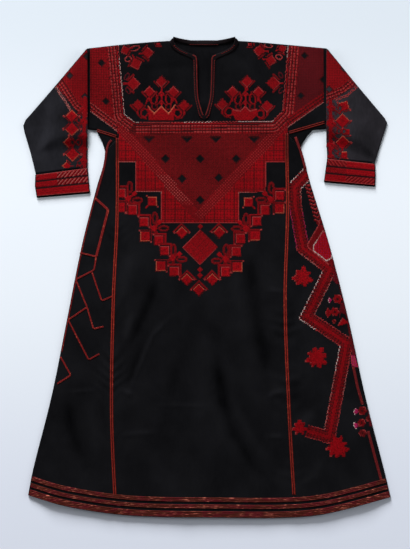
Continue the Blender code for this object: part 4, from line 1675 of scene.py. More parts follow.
@dataclass
class Sleeve:
    """One sleeve: head, forearm folded over it, and cuff."""

    word: str
    side: int
    fold_x: float
    armpit: Places
    tuck: Spot
    hidden: Spot
    outer: Places
    inner: Places
    cuff: tuple[tuple[Spot, Spot], ...]
    folds: tuple[Fold, ...]
    work: ForearmWork

    def corners(self) -> Places:
        """The triangle of hidden layers inside the fold."""
        return ((self.fold_x, 668), (self.fold_x, self.armpit[2][1]), self.tuck)

    def under(self, x: Array, y: Array) -> Array:
        """The forearm rests on the stack and comes down to the table past it.

        Args:
            x, y: plan places.

        Returns:
            STACK where the place is within DRAPE_CLEAR of the triangle's lines, easing to 0
            over the next DRAPE.
        """
        corners = self.corners()
        mx, my = (sum(c[k] for c in corners) / 3 for k in range(2))
        reach = np.full(np.shape(x), -1e9)
        for (ax, ay), (bx, by) in zip(corners, (*corners[1:], corners[0])):
            length = math.hypot(bx - ax, by - ay)
            out = ((x - ax) * (by - ay) - (y - ay) * (bx - ax)) / length
            within = (mx - ax) * (by - ay) - (my - ay) * (bx - ax)
            reach = np.maximum(reach, out if within < 0 else -out)
        return STACK * (1 - ease((reach - DRAPE_CLEAR) / DRAPE))

    def relief(self, x: Array, y: Array) -> Array:
        """The forearm's soft folds."""
        return sum(fold.rise(x, y) for fold in self.folds) + 0.8 * ripple(x, y)

    def head(self) -> FlatTube:
        """From the panel's seam to the fold, and on to the hidden tuck.

        Returns:
            Its tube.
        """
        steps = np.linspace(0, 1, 34)
        clear = 0.6 * self.side
        seam, side = self.armpit, self.side
        x = mix(SEAM[side](680) + clear, self.fold_x - side, steps)
        low = mix(SEAM[side](seam[0][1]) + clear, seam[2][0], steps)
        order = np.argsort([side * p[0] for p in seam])
        low_y = np.interp(side * low, [side * seam[k][0] for k in order], [seam[k][1] for k in order])
        upper, lower = np.stack([x, SHOULDER(x)], axis=-1), np.stack([low, low_y], axis=-1)
        t = np.linspace(0, 1, 8)[1:, None]
        upper = np.concatenate([upper, np.array([[self.fold_x, 668]]) + t * np.array([[2 * side, -2]])])
        lower = np.concatenate([lower, mix(np.array([seam[2]]), np.array([self.hidden]), t)])
        if side < 0:
            upper, lower = upper[::-1], lower[::-1]
        return FlatTube(upper, lower, LAID, level, level, np.zeros(len(upper)), 44)

    def forearm(self) -> FlatTube:
        """From the pointed top down to the cuff, over the fold.

        Returns:
            Its tube.
        """
        lines = (self.outer, self.inner) if self.side < 0 else (self.inner, self.outer)
        first, last = (filled(line[::-1], 9) for line in lines)
        return FlatTube(first, last, SLEEVE_HEIGHT, self.under, self.relief, np.zeros(len(first)), 36)

    def cuff_tube(self) -> FlatTube:
        """The band at the wrist, its back layer showing a little below.

        Returns:
            Its tube.
        """
        pairs = [edge if self.side < 0 else edge[::-1] for edge in reversed(self.cuff)]
        first, last = (filled([pair[k] for pair in pairs], 8) for k in range(2))
        drop = 3.5 * np.linspace(1, 0, len(first))
        return FlatTube(first, last, LAID + 0.4, level, level, drop, 32)

    def build(self, made: Made) -> None:
        """Cloth, embroidery and the hidden fold.

        Args:
            made: what the parts share.
        """
        cotton, word = made.finishes.cotton, self.word
        # the forearm takes its cloth with painted light
        upper = made.finishes.left_forearm_painted_light if self.side < 0 else made.finishes.right_forearm_painted_light
        for name in ("sleeve_fold", "gusset"):
            node = made.nodes[f"{name}_{word}"]
            node.data.materials.clear()
            node.data.materials.append(cotton)
        head, forearm, cuff = self.head(), self.forearm(), self.cuff_tube()
        pieces = [
            head.build(f"sleeve_head_cloth_{word}", f"sleeve_head_{word}", "black_cotton", cotton),
            forearm.build(f"forearm_cloth_{word}", f"forearm_{word}", "black_cotton", upper),
            cuff.build(f"cuff_cloth_{word}", f"cuff_{word}", "silk_embroidery", cotton),
        ]
        works = [
            self.stitch_head(head, made), self.stitch_forearm(forearm, made), self.stitch_cuff(cuff, made)
        ]
        floors = ("back_panel_cloth", "back_panel_cloth", "table_top")
        for piece, tube, work, floor in zip(pieces, (head, forearm, cuff), works, floors):
            declare_cloth(piece, tube.grid(), True)

    def stitch_head(self, head: FlatTube, made: Made) -> Piece:
        """Red over the head, down to a slanting edge, and the black corner below it.

        Args:
            head: the cloth under it.
            made: what the parts share.

        Returns:
            The embroidery.
        """
        left = self.side < 0
        low, high = ((-348, 400), (-258, 692)) if left else ((232, 410), (348, 690))
        canvas = Canvas.upright(f"sleeve_head_stitches_{self.word}", low, high, head.top)
        cover = canvas.cover
        netted(canvas, canvas.x > -1e6, *((RED, DEEP) if left else (GARNET, WINE)))
        cover(spots(canvas.x, canvas.y, 3), GARNET if left else SHADE)
        stitch_yoke_edge(canvas)
        for at in SLEEVE_DIAMONDS:
            diamond(canvas, at, 12.5, SHADE)
            diamond(canvas, at, 8.5, None)
        slant = ((-371, 505), (-260, 422)) if left else ((240, 439), (371, 530))
        _, along, above = nearest(slant, canvas.x, canvas.y)
        net_rows(canvas, (above > 0) & (above < 26), along, above, DUSTY if left else RED)
        cover((above > 8.4) & (above < 11.4) & (np.floor(along / PITCH) % 4 < 2), None)
        cover(above <= 3.6, None)
        cover(zigzag(along, 4.4 - above), ROSE)
        # painted shade: the red stops 6.5 mm short of the fold, leaving bare black cloth where the
        # forearm's edge casts its shadow
        cover((canvas.x - self.fold_x) * -self.side < 6.5, None)
        cover((canvas.x - SEAM[self.side](canvas.y)) * self.side <= 1.2, None)
        cover(canvas.y > SHOULDER(canvas.x) - 1.5, None)
        return canvas.stitch(made.finishes.stitches, 11 + self.side)

    def stitch_forearm(self, forearm: FlatTube, made: Made) -> Piece:
        """Red on the pointed top and a strip of tulips beside the fold.

        Args:
            forearm: the cloth under it.
            made: what the parts share.

        Returns:
            The embroidery.
        """
        left, work = self.side < 0, self.work
        canvas = Canvas.upright(f"forearm_stitches_{self.word}", work.low, work.high, forearm.top)
        x, y, cover = canvas.x, canvas.y, canvas.cover
        within = inside(work.region, x, y)
        netted(canvas, within, DEEP, RED)
        away, along, _ = nearest(work.edge, x, y)
        net_rows(canvas, within & (away < 30), along, away, DUSTY)
        cover(away < 3.4, None)
        clear = x < -377 if left else x > 368
        cover(zigzag(along, away) & ~within & clear, ROSE if left else DUSTY)
        for at in work.dark:
            diamond(canvas, at, 12, SHADE)
            diamond(canvas, at, 8, None)
        filler = (nearest(work.strip, x, y)[0] < 19) & (y < work.filler_top)
        filler &= (canvas.i + canvas.j) % 3 > 0
        cover(filler & ((canvas.i // 3 + canvas.j // 4) % 2 == 0), WINE)
        canvas.trail(work.strip, 5, RED)
        for at, half in work.halves:
            diamond(canvas, at, half, RED)
            diamond(canvas, at, 0.5 * half, SCARLET)
            canvas.trail((at, (at[0] + 20 * self.side, at[1] - 14)), 2.4, DEEP)
        for at, facing, half in work.tulips:
            tulip(canvas, at, half, facing)
        for at in work.crooks:
            crook(canvas, at, 5.5, 4, 90, DEEP, 3.6)
        outside = ~inside([*self.outer, *self.inner[::-1]], x, y) | (nearest(self.outer, x, y)[0] < 1)
        cover(outside | ((x - self.fold_x) * self.side < 1), None)
        return canvas.stitch(made.finishes.stitches, 21 + self.side)

    def stitch_cuff(self, cuff: FlatTube, made: Made) -> Piece:
        """Three bands of satin stitch between black lines, worked along the cuff.

        Args:
            cuff: the cloth under it.
            made: what the parts share.

        Returns:
            The embroidery.
        """
        left = self.side < 0
        corners = [edge if left else edge[::-1] for edge in reversed(self.cuff)]
        first, last = np.array([c[0] for c in corners]), np.array([c[1] for c in corners])
        high, wide = 28, 63
        v = np.linspace(0.02, 0.98, high + 1) * 2
        columns = ([np.interp(v, [0, 1, 2], column) for column in side.T] for side in (first, last))
        ends = [np.stack(pair, axis=-1) for pair in columns]
        u = np.linspace(0.015, 0.985, wide + 1)[None, :, None]
        lattice = mix(ends[0][:, None], ends[1][:, None], u)
        canvas = Canvas(f"cuff_stitches_{self.word}", lattice[..., 0], lattice[..., 1], cuff.top)
        i, j, cover = canvas.i, canvas.j, canvas.cover
        cover(i >= 0, SCARLET)
        cover(j % 3 == 0, RED)
        right = i > wide * 0.4
        if left:
            hatched, slant = right & (j > 10), (i - j) % 5
        else:
            hatched, slant = (~right & (j > 19)) | (right & (j < 10)), np.where(j < 10, i - j, i + j) % 5
            cover(~right & (j > 10) & (j < 19) & ((i + j) % 3 == 0), GARNET)
        cover(hatched, RED)
        cover(hatched & (slant == 0), ROSE if left else DUSTY)
        cover(hatched & (slant == 3), SHADE)
        for line in (10, 19):
            cover(j == line, None)
            cover(j == line - 1, SHADE)
            cover((j == line + 1) & (i % 2 == 0), WINE)
        cover((j == 0) | (j == high - 1), DUSTY)
        return canvas.stitch(made.finishes.stitches, 31 + self.side)


def declare_cloth(
    piece: Piece, points: Array, wrap: bool
) -> None:
    """Works out the area of the grid that a shell was made through, and does nothing with it.

    Args:
        piece: the shell; not used.
        points: the grid that it was made through.
        wrap: whether it is a tube.
    """
    area = area_of(points, wrap)


LEFT_SLEEVE = Sleeve(
    word="left",
    side=-1,
    fold_x=-347.5,
    armpit=((-262, 409), (-321, 429), (-347.5, 432)),
    tuck=(-424, 424),
    hidden=(-424, 424),
    outer=(
        (-353, 664), (-410, 598), (-470, 528), (-530, 459), (-536.4, 443), (-533, 425), (-515, 365),
        (-499.5, 301)
    ),
    inner=(
        (-347.5, 667.5), (-347.5, 604), (-347.5, 541), (-347.5, 478), (-347.5, 452), (-347.5, 430),
        (-348.5, 375), (-349, 321)
    ),
    cuff=(((-501, 300.5), (-348, 320.5)), ((-502.5, 268), (-345, 285)), ((-497, 236), (-341, 249))),
    folds=(
        Fold(((-453, 518), (-464, 431), (-467, 337)), 8.8, 2.6),
        Fold(((-485, 495), (-488, 431), (-485, 372)), 8.8, -1.6),
        Fold(((-426, 495), (-435, 416), (-429, 331)), 10.2, -1.4),
    ),
    work=ForearmWork(
        low=(-530, 320),
        high=(-345, 664),
        region=((-347, 673), (-444, 565), (-377, 480), (-347, 460), (-345, 460), (-345, 673)),
        edge=((-444, 559), (-395, 485), (-375, 469), (-342, 463)),
        dark=((-400, 588), (-350, 644), (-356, 527)),
        strip=((-356, 524), (-358, 320)),
        filler_top=460,
        halves=(
            ((-359, 489), 13), ((-359, 454), 15), ((-359, 412), 15), ((-361, 374), 14), ((-360, 339), 14)
        ),
        tulips=(
            ((-394, 470), 90, 19), ((-393, 432), 270, 21), ((-402, 393), 180, 17), ((-392, 359), 270, 21),
            ((-409, 325), 180, 13),
        ),
        crooks=((-374, 458), (-375, 394), (-392, 394), (-372, 333)),
    ),
)
RIGHT_SLEEVE = Sleeve(
    word="right",
    side=1,
    fold_x=347.5,
    armpit=((236, 422), (300, 438), (347.5, 454)),
    tuck=(424, 424),
    hidden=(424, 446),
    outer=(
        (353, 664), (405, 601), (460, 535), (519, 465), (526, 452), (522, 436), (505, 384), (489.5, 333)
    ),
    inner=(
        (347.5, 667.5), (347.5, 606), (347.5, 545), (347.5, 482), (347.5, 458), (347.5, 436), (348.5, 390),
        (351, 348)
    ),
    cuff=(((490.5, 332.5), (350.5, 347.5)), ((492, 299), (345.5, 313)), ((490.5, 268), (341, 281))),
    folds=(
        Fold(((432, 466), (441, 416), (453, 337)), 7.3, -1.8),
        Fold(((464, 504), (470, 431), (476, 358)), 13.1, 2),
        Fold(((502, 460), (493, 372)), 10.2, -1),
    ),
    work=ForearmWork(
        low=(345, 340),
        high=(530, 664),
        region=((347, 673), (444, 566), (356, 510), (345, 504), (345, 673)),
        edge=((444, 562), (408, 530), (356, 510)),
        dark=((399, 609), (356, 548)),
        strip=((361, 515), (361, 346)),
        filler_top=510,
        halves=(((362, 495), 14), ((363, 450), 19), ((363, 416), 11), ((363, 386), 17), ((362, 354), 11)),
        tulips=(
            ((399, 499), 60, 18), ((395, 456), 90, 21), ((407, 424), 45, 12.5), ((395, 393), 90, 21),
            ((400, 358), 45, 12.5),
        ),
        crooks=((387, 493), (384, 426), (399, 425), (387, 361)),
    ),
)


@dataclass
class Ribbon:
    """A cord or braid couched on the cloth, following a broken line rounded at its bends.

    Attributes:
        places: the line.
        half: half its width.
        high: how far it stands up.
        surface: the cloth's height.
        ridges: how many rounded cords lie side by side in it.
        soften: length over which its bends are rounded.
        lift: clearance above the cloth.
    """

    places: Places
    half: float
    high: float
    surface: Surface
    ridges: int = 2
    soften: float = 6
    lift: float = 0.15
    step: float = 3

    def centre(self) -> Array:
        """Evenly spaced points along the rounded line.

        Returns:
            n x 2 places.
        """
        line = np.array(self.places, dtype=float)
        run = np.concatenate([[0], np.cumsum(np.linalg.norm(np.diff(line, axis=0), axis=1))])
        at = np.linspace(0, run[-1], max(int(run[-1] / self.step), 4) + 1)
        even = np.stack([np.interp(at, run, column) for column in line.T], axis=-1)
        reach = int(self.soften / self.step)
        if reach > 0:
            padded = np.concatenate(
                [2 * even[:1] - even[reach:0:-1], even, 2 * even[-1:] - even[-2 : -reach - 2 : -1]]
            )
            kernel = np.ones(2 * reach + 1) / (2 * reach + 1)
            even = np.stack([np.convolve(column, kernel, "valid") for column in padded.T], axis=-1)
        return even

    def grid(self) -> Array:
        """Rings across the line: bumps over the top and a flat underside.

        Returns:
            rings x points x 3 places.
        """
        line = self.centre()
        ahead = np.gradient(line, axis=0)
        ahead /= np.linalg.norm(ahead, axis=1, keepdims=True) + 1e-9
        right = np.stack([ahead[:, 1], -ahead[:, 0]], axis=-1)
        s = np.linspace(-1, 1, 4 * self.ridges + 1)
        bump = 0.35 + 0.65 * np.abs(np.sin(math.pi * self.ridges * (s + 1) / 2)) ** 0.6
        taper = np.ones(len(line))
        taper[[0, -1]] = 0.25
        s = np.concatenate([s, [0.9, -0.9]])
        bump = np.concatenate([bump, [0, 0]])
        place = line[:, None] + right[:, None] * (s * self.half)[None, :, None]
        x, y = place[..., 0], place[..., 1]
        z = self.surface(x, y) + self.lift + self.high * bump[None] * taper[:, None]
        return np.stack([x, y, z], axis=-1)

    def build(self, name: str, slot: str, finish: Material, *nodes: str) -> Piece:
        """The cord, closed at both ends."""
        return ring_piece(name, [self.grid()], slot, finish, *nodes)


def ring_piece(name: str, grids: list[Array], slot: str, finish: Material, *nodes: str) -> Piece:
    """Joins closed tubes into one piece, each capped by a fan at both ends.

    Args:
        name: the piece's name.
        grids: rings x points x 3 for each tube.
        slot: its material slot in the record.
        finish: its material.
        nodes: the nodes that it stands for.

    Returns:
        The piece, with UVs along and across each tube in metres.
    """
    points, faces, lies, start = [], [], [], 0
    for grid in grids:
        rows, columns = grid.shape[:2]
        quads = grid_faces(rows, columns, True) + start
        across, along = unroll(closed(grid))
        corner = at_corners(along, across)
        faces += [quads[:, [0, 1, 2]], quads[:, [0, 2, 3]]]
        lies += [corner[:, [0, 1, 2]], corner[:, [0, 2, 3]]]
        ends = start + rows * columns
        ring = start + np.arange(columns)
        far = ring + (rows - 1) * columns
        faces += [np.stack([np.roll(ring, -1), ring, np.full(columns, ends)], axis=-1)]
        faces += [np.stack([far, np.roll(far, -1), np.full(columns, ends + 1)], axis=-1)]
        lies += [np.zeros((2 * columns, 3, 2))]
        points += [grid.reshape(-1, 3), grid[0].mean(axis=0)[None], grid[-1].mean(axis=0)[None]]
        start = ends + 2
    piece = make_mesh(name, np.concatenate(points), np.concatenate(faces), np.concatenate(lies))
    return finish_piece(piece, finish, slot, *nodes)


def dashes(
    places: Places, length: float, gap: float, half: float, high: float, surface: Surface
) -> list[Array]:
    """Short stitches in a row along a line, as small tubes.

    Args:
        places: the line.
        length, gap: of a stitch, and between two.
        half, high: half a stitch's width, and its height.
        surface: the cloth's height.

    Returns:
        A grid of rings for each stitch.
    """
    line = Ribbon(places, half, high, surface, 1, 0).centre()
    run = np.concatenate([[0], np.cumsum(np.linalg.norm(np.diff(line, axis=0), axis=1))])
    starts = np.arange(0, run[-1] - length, length + gap)
    grids = []
    for at in starts:
        t = at + np.array([0, length / 2, length])
        ends = np.stack([np.interp(t, run, column) for column in line.T], axis=-1)
        grids.append(Ribbon([tuple(p) for p in ends], half, high, surface, 1, 0, 0.1, length / 3).grid())
    return grids


@dataclass
class Neck:
    """The neck opening's binding: a folded strip round the slit, rising to the shoulders.

    Attributes:
        rows: from the slit's foot to the peak: half width and y of its inner edge, then of
            its outer edge, then how far each is raised.
        band: the back's strip: half width, y of its upper edge and height.
        edging: lines sewn along the strip: share of the way in, half width, and the first
            and last of the 60 points along it.
    """

    rows: tuple[tuple[float, ...], ...] = (
        (0.3, 470, 0.3, 457, 0, 0),
        (4, 481, 15, 470, 0, 0),
        (8, 492, 20, 488, 0, 0),
        (16.5, 527, 28.5, 526, 0, 0),
        (19, 577, 31, 577, 0, 0),
        (20, 625, 32, 622, 0, 0),
        (21.5, 643, 33.5, 632, 0, 0),
        (27, 649, 38, 637.5, 0, 0),
        (49, 657, 54, 645.5, 0.3, 0),
        (66, 665, 73, 654, 1, 0.2),
        (78, 673, 88, 664, 2.4, 0.5),
        (85.5, 682, 97, 676, 4.4, 1),
        (88.3, 692, 100.5, 687, 6.4, 1.9),
        (87, 702, 98, 692.5, 7.4, 2.8),
    )
    band: tuple[tuple[float, float, float], ...] = (
        (90.5, 702, 12.3),
        (83, 700.5, 10.5),
        (72, 698, 7.6),
        (54, 694.5, 5.4),
        (28, 691, 4.5),
        (0, 689.5, 4.4),
    )
    edging: tuple[tuple[float, float, int, int], ...] = (
        (0.8, 1.5, 2, 34),
        (0.22, 1, 2, 30),
        (0.62, 0.9, 36, 52),
    )

    def outline(self, grow: float) -> Places:
        """The opening, its inner edge moved outwards, and wide open above the shoulders.

        Args:
            grow: how far its edge is moved.

        Returns:
            The polygon's corners.
        """
        half = [(row[0] + grow, row[1] - grow * 0.8) for row in self.rows]
        half = [(0, self.rows[0][1] - grow * 0.2), *half[1:], (half[-1][0], NECK_TOP)]
        return [*((NECK_X - h, y) for h, y in half), *((NECK_X + h, y) for h, y in reversed(half))]

    def edges(self, side: int, count: int) -> tuple[Array, Array]:
        """Outer and inner edges as smooth courses of points, x, y and z.

        Args:
            side: -1 for the left strip, 1 for the right.
            count: how many points along each.

        Returns:
            Two arrays of count x 3 places.
        """
        table = np.array(self.rows)
        t = np.linspace(0, 1, count)
        steps = np.linspace(0, 1, len(table))
        columns = (Course(tuple(zip(steps, column)))(t) for column in table.T)
        inner_x, inner_y, outer_x, outer_y, inner_z, outer_z = columns
        base = LAID + 0.4
        outer = np.stack([NECK_X + side * outer_x, outer_y, base + outer_z], axis=-1)
        inner = np.stack([NECK_X + side * inner_x, inner_y, base + inner_z], axis=-1)
        return outer, inner

    def strip(self, side: int) -> Array:
        """Rings of one side's strip: rounded over both its edges, flat underneath.

        Args:
            side: -1 for the left strip, 1 for the right.

        Returns:
            rings x points x 3 places.
        """
        outer, inner = self.edges(side, 90)
        s = np.linspace(0, 1, 9)
        arch = 1.5 * np.clip(1 - (2 * s - 1) ** 2, 0, 1) ** 0.35 + 0.12 * np.sin(9 * s)
        place = mix(outer[:, None], inner[:, None], np.concatenate([s, [0.92, 0.08]])[None, :, None])
        place[..., 2] += np.concatenate([arch, [-0.3, -0.3]])[None]
        return place if side < 0 else place[:, ::-1]

    def back_strip(self) -> Array:
        """Rings of the band at the back of the neck, standing on the back panel's edge.

        Returns:
            rings x points x 3 places.
        """
        table = np.array([*self.band, *((-h, y, z) for h, y, z in self.band[-2::-1])])
        t = np.linspace(0, 1, 80)
        steps = np.linspace(0, 1, len(table))
        half, high_y, z = (Course(tuple(zip(steps, c)))(t) for c in table.T)
        low = np.stack([NECK_X - half, high_y - 13, np.minimum(z, 4.4) - 1.3], axis=-1)
        high = np.stack([NECK_X - half, high_y, z - 1.3], axis=-1)
        s = np.linspace(0, 1, 8)
        arch = 1.3 * np.clip(1 - (2 * s - 1) ** 2, 0, 1) ** 0.35
        place = mix(low[:, None], high[:, None], np.concatenate([s, [0.95, 0.05]])[None, :, None])
        place[..., 2] += np.concatenate([arch, [-0.2, -0.2]])[None]
        return place[:, ::-1]

    def build(self, made: Made) -> None:
        """The strips, their thin red edge cord and their row of red stitches.

        Args:
            made: what the parts share.
        """
        dark, red = made.finishes.binding, made.finishes.edge_cord
        for side, word in ((-1, "left"), (1, "right")):
            outer, inner = self.edges(side, 60)
            ring_piece(
                f"neck_strip_{word}", [self.strip(side)], "neck_binding", dark, f"neck_binding_{word}"
            )
            lines = []
            for share, half, low, high in self.edging:
                line = mix(outer, inner, share)[low:high]
                order = np.argsort(line[:, 1])
                height = partial(self.edging_height, line[order, 1], line[order, 2])
                places = [tuple(point) for point in line[:, :2]]
                if share > 0.7:
                    lines.append(Ribbon(places, half, 0.5, height, 1, 0, 0).grid())
                else:
                    lines += dashes(places, 5, 2, half, 0.45, height)
            ring_piece(f"neck_edging_{word}", lines, "couched_braid", red)
        ring_piece("neck_strip_back", [self.back_strip()], "neck_binding", dark, "neck_binding_back")
        places = [(NECK_X - 42 + 4 * k, 679.5) for k in range(22)]
        rows = dashes(places, 4, 3, 0.7, 0.45, self.back_height)
        ring_piece("neck_back_stitches", rows, "couched_braid", red)

    @staticmethod
    def edging_height(line_y: Array, line_z: Array, _: Array, y: Array) -> Array:
        """Height of the strip's face at y, from a line along it."""
        return np.interp(y, line_y, line_z) + 1.35

    @staticmethod
    def back_height(x: Array, y: Array) -> Array:
        """Height of the back band's face, the same all along."""
        return 4.4 + 0.1 + level(x, y)


@dataclass
class Skirt:
    """The trims and embroidery below the chest: braids, cords, bands and flowers.

    Attributes:
        seams: side, name and the two ends of each long seam.
        arms: name, seam under the arm, cord down the side and its half width.
        bands: name, low and high edge above the hem, and cords side by side.
        wander: half width and line of each cord on the left gore.
        zigzag, glints: the right gore's band, and stretches of its edging: from, to, side
            (0 for both) and thread.
        column: the line of scales beside its upper end.
        kite, heart: the two shapes in its wide turn.
        patches: small dull fields along the right side.
        stars, rosettes, fans: middle or point and reach of each, then its turn and threads.
        lines: the right gore's cords.
    """

    seams: tuple[tuple[int, str, float, float], ...] = ((-1, "left", -634, 407), (1, "right", -634, 420))
    arms: tuple[tuple[str, Places, Places, float], ...] = (
        (
            "left", ((-264, 411), (-321, 429)),
            ((-279, 401), (-288, 390), (-293, 369), (-298, 331), (-307, 295), (-317, 260), (-324, 235)),
            3.2,
        ),
        (
            "right", ((239, 422.6), (342.75, 452.4)),
            ((258, 410), (267, 385), (274, 366), (281, 341), (287, 317)), 3.8,
        ),
    )
    bands: tuple[tuple[str, float, float, int], ...] = (
        ("lower", 0.6, 18.5, 4), ("middle", 26, 38.2, 3), ("upper", 45.5, 58.5, 3),
    )
    wander: tuple[tuple[float, Places], ...] = (
        (3.6, ((-326, 231), (-288, 197), (-323, 61))),
        (2.3, ((-371, 72), (-323, 61), (-329, 22), (-383, -6), (-350, -86), (-331, -150), (-301, -143))),
        (2.3, ((-335, 14), (-307, -68), (-276, -55))),
        (2.3, ((-352, -88), (-405, -124), (-345, -240), (-314, -223))),
        (2.3, ((-427, -232), (-397, -285), (-437, -310))),
    )
    zigzag: Places = (
        (307, 318), (255, 264), (258, 206), (280, 86), (360, 25), (291, -114), (407, -191), (356, -466),
        (291, -447),
    )
    glints: tuple[tuple[float, float, int, Thread], ...] = (
        (0, 76, 0, PALE), (133, 250, -1, MAGENTA), (76, 110, 1, ROSE), (150, 245, 1, MAGENTA),
        (262, 320, -1, ROSE), (356, 512, -1, PALE), (375, 500, 1, ROSE), (512, 555, -1, PALE),
        (655, 740, -1, PALE), (740, 930, -1, ROSE), (730, 810, 1, ROSE),
    )
    column: Places = ((297, 270), (310, 226), (326, 165))
    kite: Places = ((328, 156), (293, 96), (296, 86), (355, 38), (394, 45), (359, 145))
    heart: Places = ((338, 135), (311, 93), (312, 77), (349, 49), (364, 57), (365, 73), (349, 132))
    patches: tuple[Places, ...] = (
        ((365, 34), (380, 34), (393, -19), (377, -18), (368, -10)),
        ((391, -74), (403, -74), (415, -107), (400, -107), (390, -101)),
        ((418, -177), (435, -177), (442, -232), (423, -232)),
        ((467, -364), (479, -364), (493, -434), (473, -434)),
    )
    stars: tuple[tuple[Spot, float, int, float], ...] = (
        ((278, 1), 32, 7, 0.35), ((320, -234), 34, 8, 0.5), ((380, -496), 35, 9, 0.2),
        ((270, -438), 24, 7, 0.2),
    )
    rosettes: tuple[tuple[Spot, float, Thread], ...] = (
        ((381, -63), 14.5, RED), ((373, -100), 13.5, RED), ((371, -128), 6.5, DEEP),
        ((453, -389), 14, DEEP), ((451, -424), 13, DEEP), ((472, -412), 9.5, GARNET),
        ((454, -454), 12, GARNET),
    )
    fans: tuple[tuple[Spot, float, float, Thread], ...] = (
        ((364, -66), 11, 185, MAGENTA), ((365, -103), 19, 180, RED),
        ((442, -392), 14, 170, MAGENTA), ((441, -429), 14, 200, MAGENTA),
    )
    lines: tuple[Places, ...] = (
        ((427, -260), (439, -319), (449, -353), (454, -371)), ((470, -448), (480, -486), (509, -594)),
    )

    def braids(self, made: Made) -> None:
        """Couched braid over the two long seams and under the arms.

        Args:
            made: what the parts share.
        """
        finishes = made.finishes
        for side, word, low, high in self.seams:
            ys = np.linspace(low, high, 124)
            pair = (list(zip(SEAM[side](ys) + off, ys)) for off in (-2.8, 2.8))
            cords = [Ribbon(line, 1.9, 1.5, front_top, 1, 0).grid() for line in pair]
            ring_piece(
                f"seam_cord_{word}", cords, "couched_braid", finishes.seam_cord, f"seam_braid_{word}"
            )
        for word, arm, under, half in self.arms:
            ax, ay = arm[1][0] - arm[0][0], arm[1][1] - arm[0][1]
            nx, ny = -ay / math.hypot(ax, ay), ax / math.hypot(ax, ay)
            pair = ([(x + nx * off, y + ny * off) for x, y in arm] for off in (-2.6, 2.6))
            cords = [Ribbon(line, 1.6, 1.4, laid_flat, 1, 0, 0.3).grid() for line in pair]
            name, node = f"underarm_cord_{word}", f"underarm_braid_{word}"
            ring_piece(name, cords, "couched_braid", finishes.seam_cord, node)
            edge = Ribbon(under, half, 1.3, edge_top, 2, 6, 0.2)
            edge.build(f"side_cord_{word}", "couched_braid", finishes.side_cord)

    @staticmethod
    def above_hem(up: float) -> Places:
        """A course that stays above the hem, from outline to outline.

        Args:
            up: how far above it.

        Returns:
            Its places.
        """
        ends = [SIDE[side](HEM(600 * side) + up) - 1.5 * side for side in (-1, 1)]
        xs = np.linspace(*ends, 300)
        return list(zip(xs, HEM(xs) + up))

    def hem(self, made: Made) -> None:
        """Three broad couched bands along the hem.

        Args:
            made: what the parts share.
        """
        for word, low, high, ridges in self.bands:
            line = self.above_hem((low + high) / 2)
            band = Ribbon(line, (high - low) / 2, 1.4, edge_top, ridges, 0, 0.25, 4)
            band.build(f"hem_cord_{word}", "couched_braid", made.finishes.hem_cord, f"hem_braid_{word}")

    def left_cords(self, made: Made) -> None:
        """Thin red cords wandering down the left gore, and one along its side.

        Args:
            made: what the parts share.
        """
        grids = [Ribbon(line, half, 1.2, front_top, 2, 5, 0.1, 2.5).grid() for half, line in self.wander]
        ys = np.linspace(238, -218, 60)
        grids.append(Ribbon(list(zip(SIDE[-1](ys) + 4, ys)), 1.3, 0.9, edge_top, 1, 0, 0).grid())
        ring_piece("gore_cords_left", grids, "couched_braid", made.finishes.skirt_cord)

    def right_band(self, canvas: Canvas) -> Array:
        """The stitched band that zigzags down the right gore, with glints in its edging.

        Args:
            canvas: its ground.

        Returns:
            Each cell's distance from the band's middle line.
        """
        cover = canvas.cover
        away, along, side = mitred(self.zigzag, canvas.x, canvas.y)
        cell = np.floor(along / PITCH)
        cover(away < 16, DEEP)
        cover(away < 5, RED)
        cover((away >= 5) & (away < 7.4) & (cell % 4 < 2), SHADE)
        cover((away >= 11) & (away < 13.6) & (cell % 4 < 2), None)
        edging = zigzag(along, away - 15.4)
        cover(edging, DUSTY)
        edging &= cell % 4 < 3
        for low, high, hand, thread in self.glints:
            cover(edging & (along > low) & (along < high) & (side * hand >= 0), thread)
        return away

    def right_fields(self, canvas: Canvas, away: Array) -> None:
        """Scales, kite, heart and small fields round the band.

        Args:
            canvas: its ground.
            away: each cell's distance from the band's middle line.
        """
        x, y, cover = canvas.x, canvas.y, canvas.cover
        off, run, side = nearest(self.column, x, y)
        step = np.floor((run + 0.8 * np.abs(side)) / PITCH) % 5
        scales = (off < 12) & (y < 272) & (away > 17)
        cover(scales & (step < 3), DEEP)
        cover(scales & (step == 0), DUSTY)
        cover(inside(self.kite, x, y), DEEP)
        cover(nearest(self.kite[:4], x, y)[0] < 1.4, DUSTY)
        heart = inside(self.heart, x, y)
        cover(heart, SCARLET)
        cover(heart & spots(x, y, 3), MAGENTA)
        ring = nearest([*self.heart, self.heart[0]], x, y)[0] < 1.2
        cover(ring, ROSE)
        cover(ring & (x + y < 431), PALE)
        for patch in self.patches:
            within = inside(patch, x, y) & (away > 16)
            cover(within, WINE)
            cover(within & spots(x + y, x - y, 3), DEEP)
        patch = inside(((419, -226), (431, -229), (442, -261), (422, -260)), x, y)
        cover(patch, DUSTY)
        cover(patch & squares(x, y, 3), MAGENTA)
        cover(nearest(((374, 45), (391, -36), (412, -130), (423, -200)), x, y)[0] < 3, GARNET)

    def right_flowers(self, canvas: Canvas) -> None:
        """Stars, and the rosettes and fans of the right side.

        Args:
            canvas: its ground.
        """
        for at, reach, points, turn in self.stars:
            star(canvas, at, reach, points, turn)
        canvas.trail(((390, -72), (388, -115)), 1.6, WINE)
        for at, reach, thread in self.rosettes:
            rosette(canvas, at, reach, thread)
        canvas.cover(inside(((396, -117), (382, -142), (413, -133)), canvas.x, canvas.y), SCARLET)
        canvas.trail(((382, -140), (396, -118)), 1.3, DUSTY)
        for at, reach, facing, thread in self.fans:
            fan(canvas, at, reach, facing, thread)

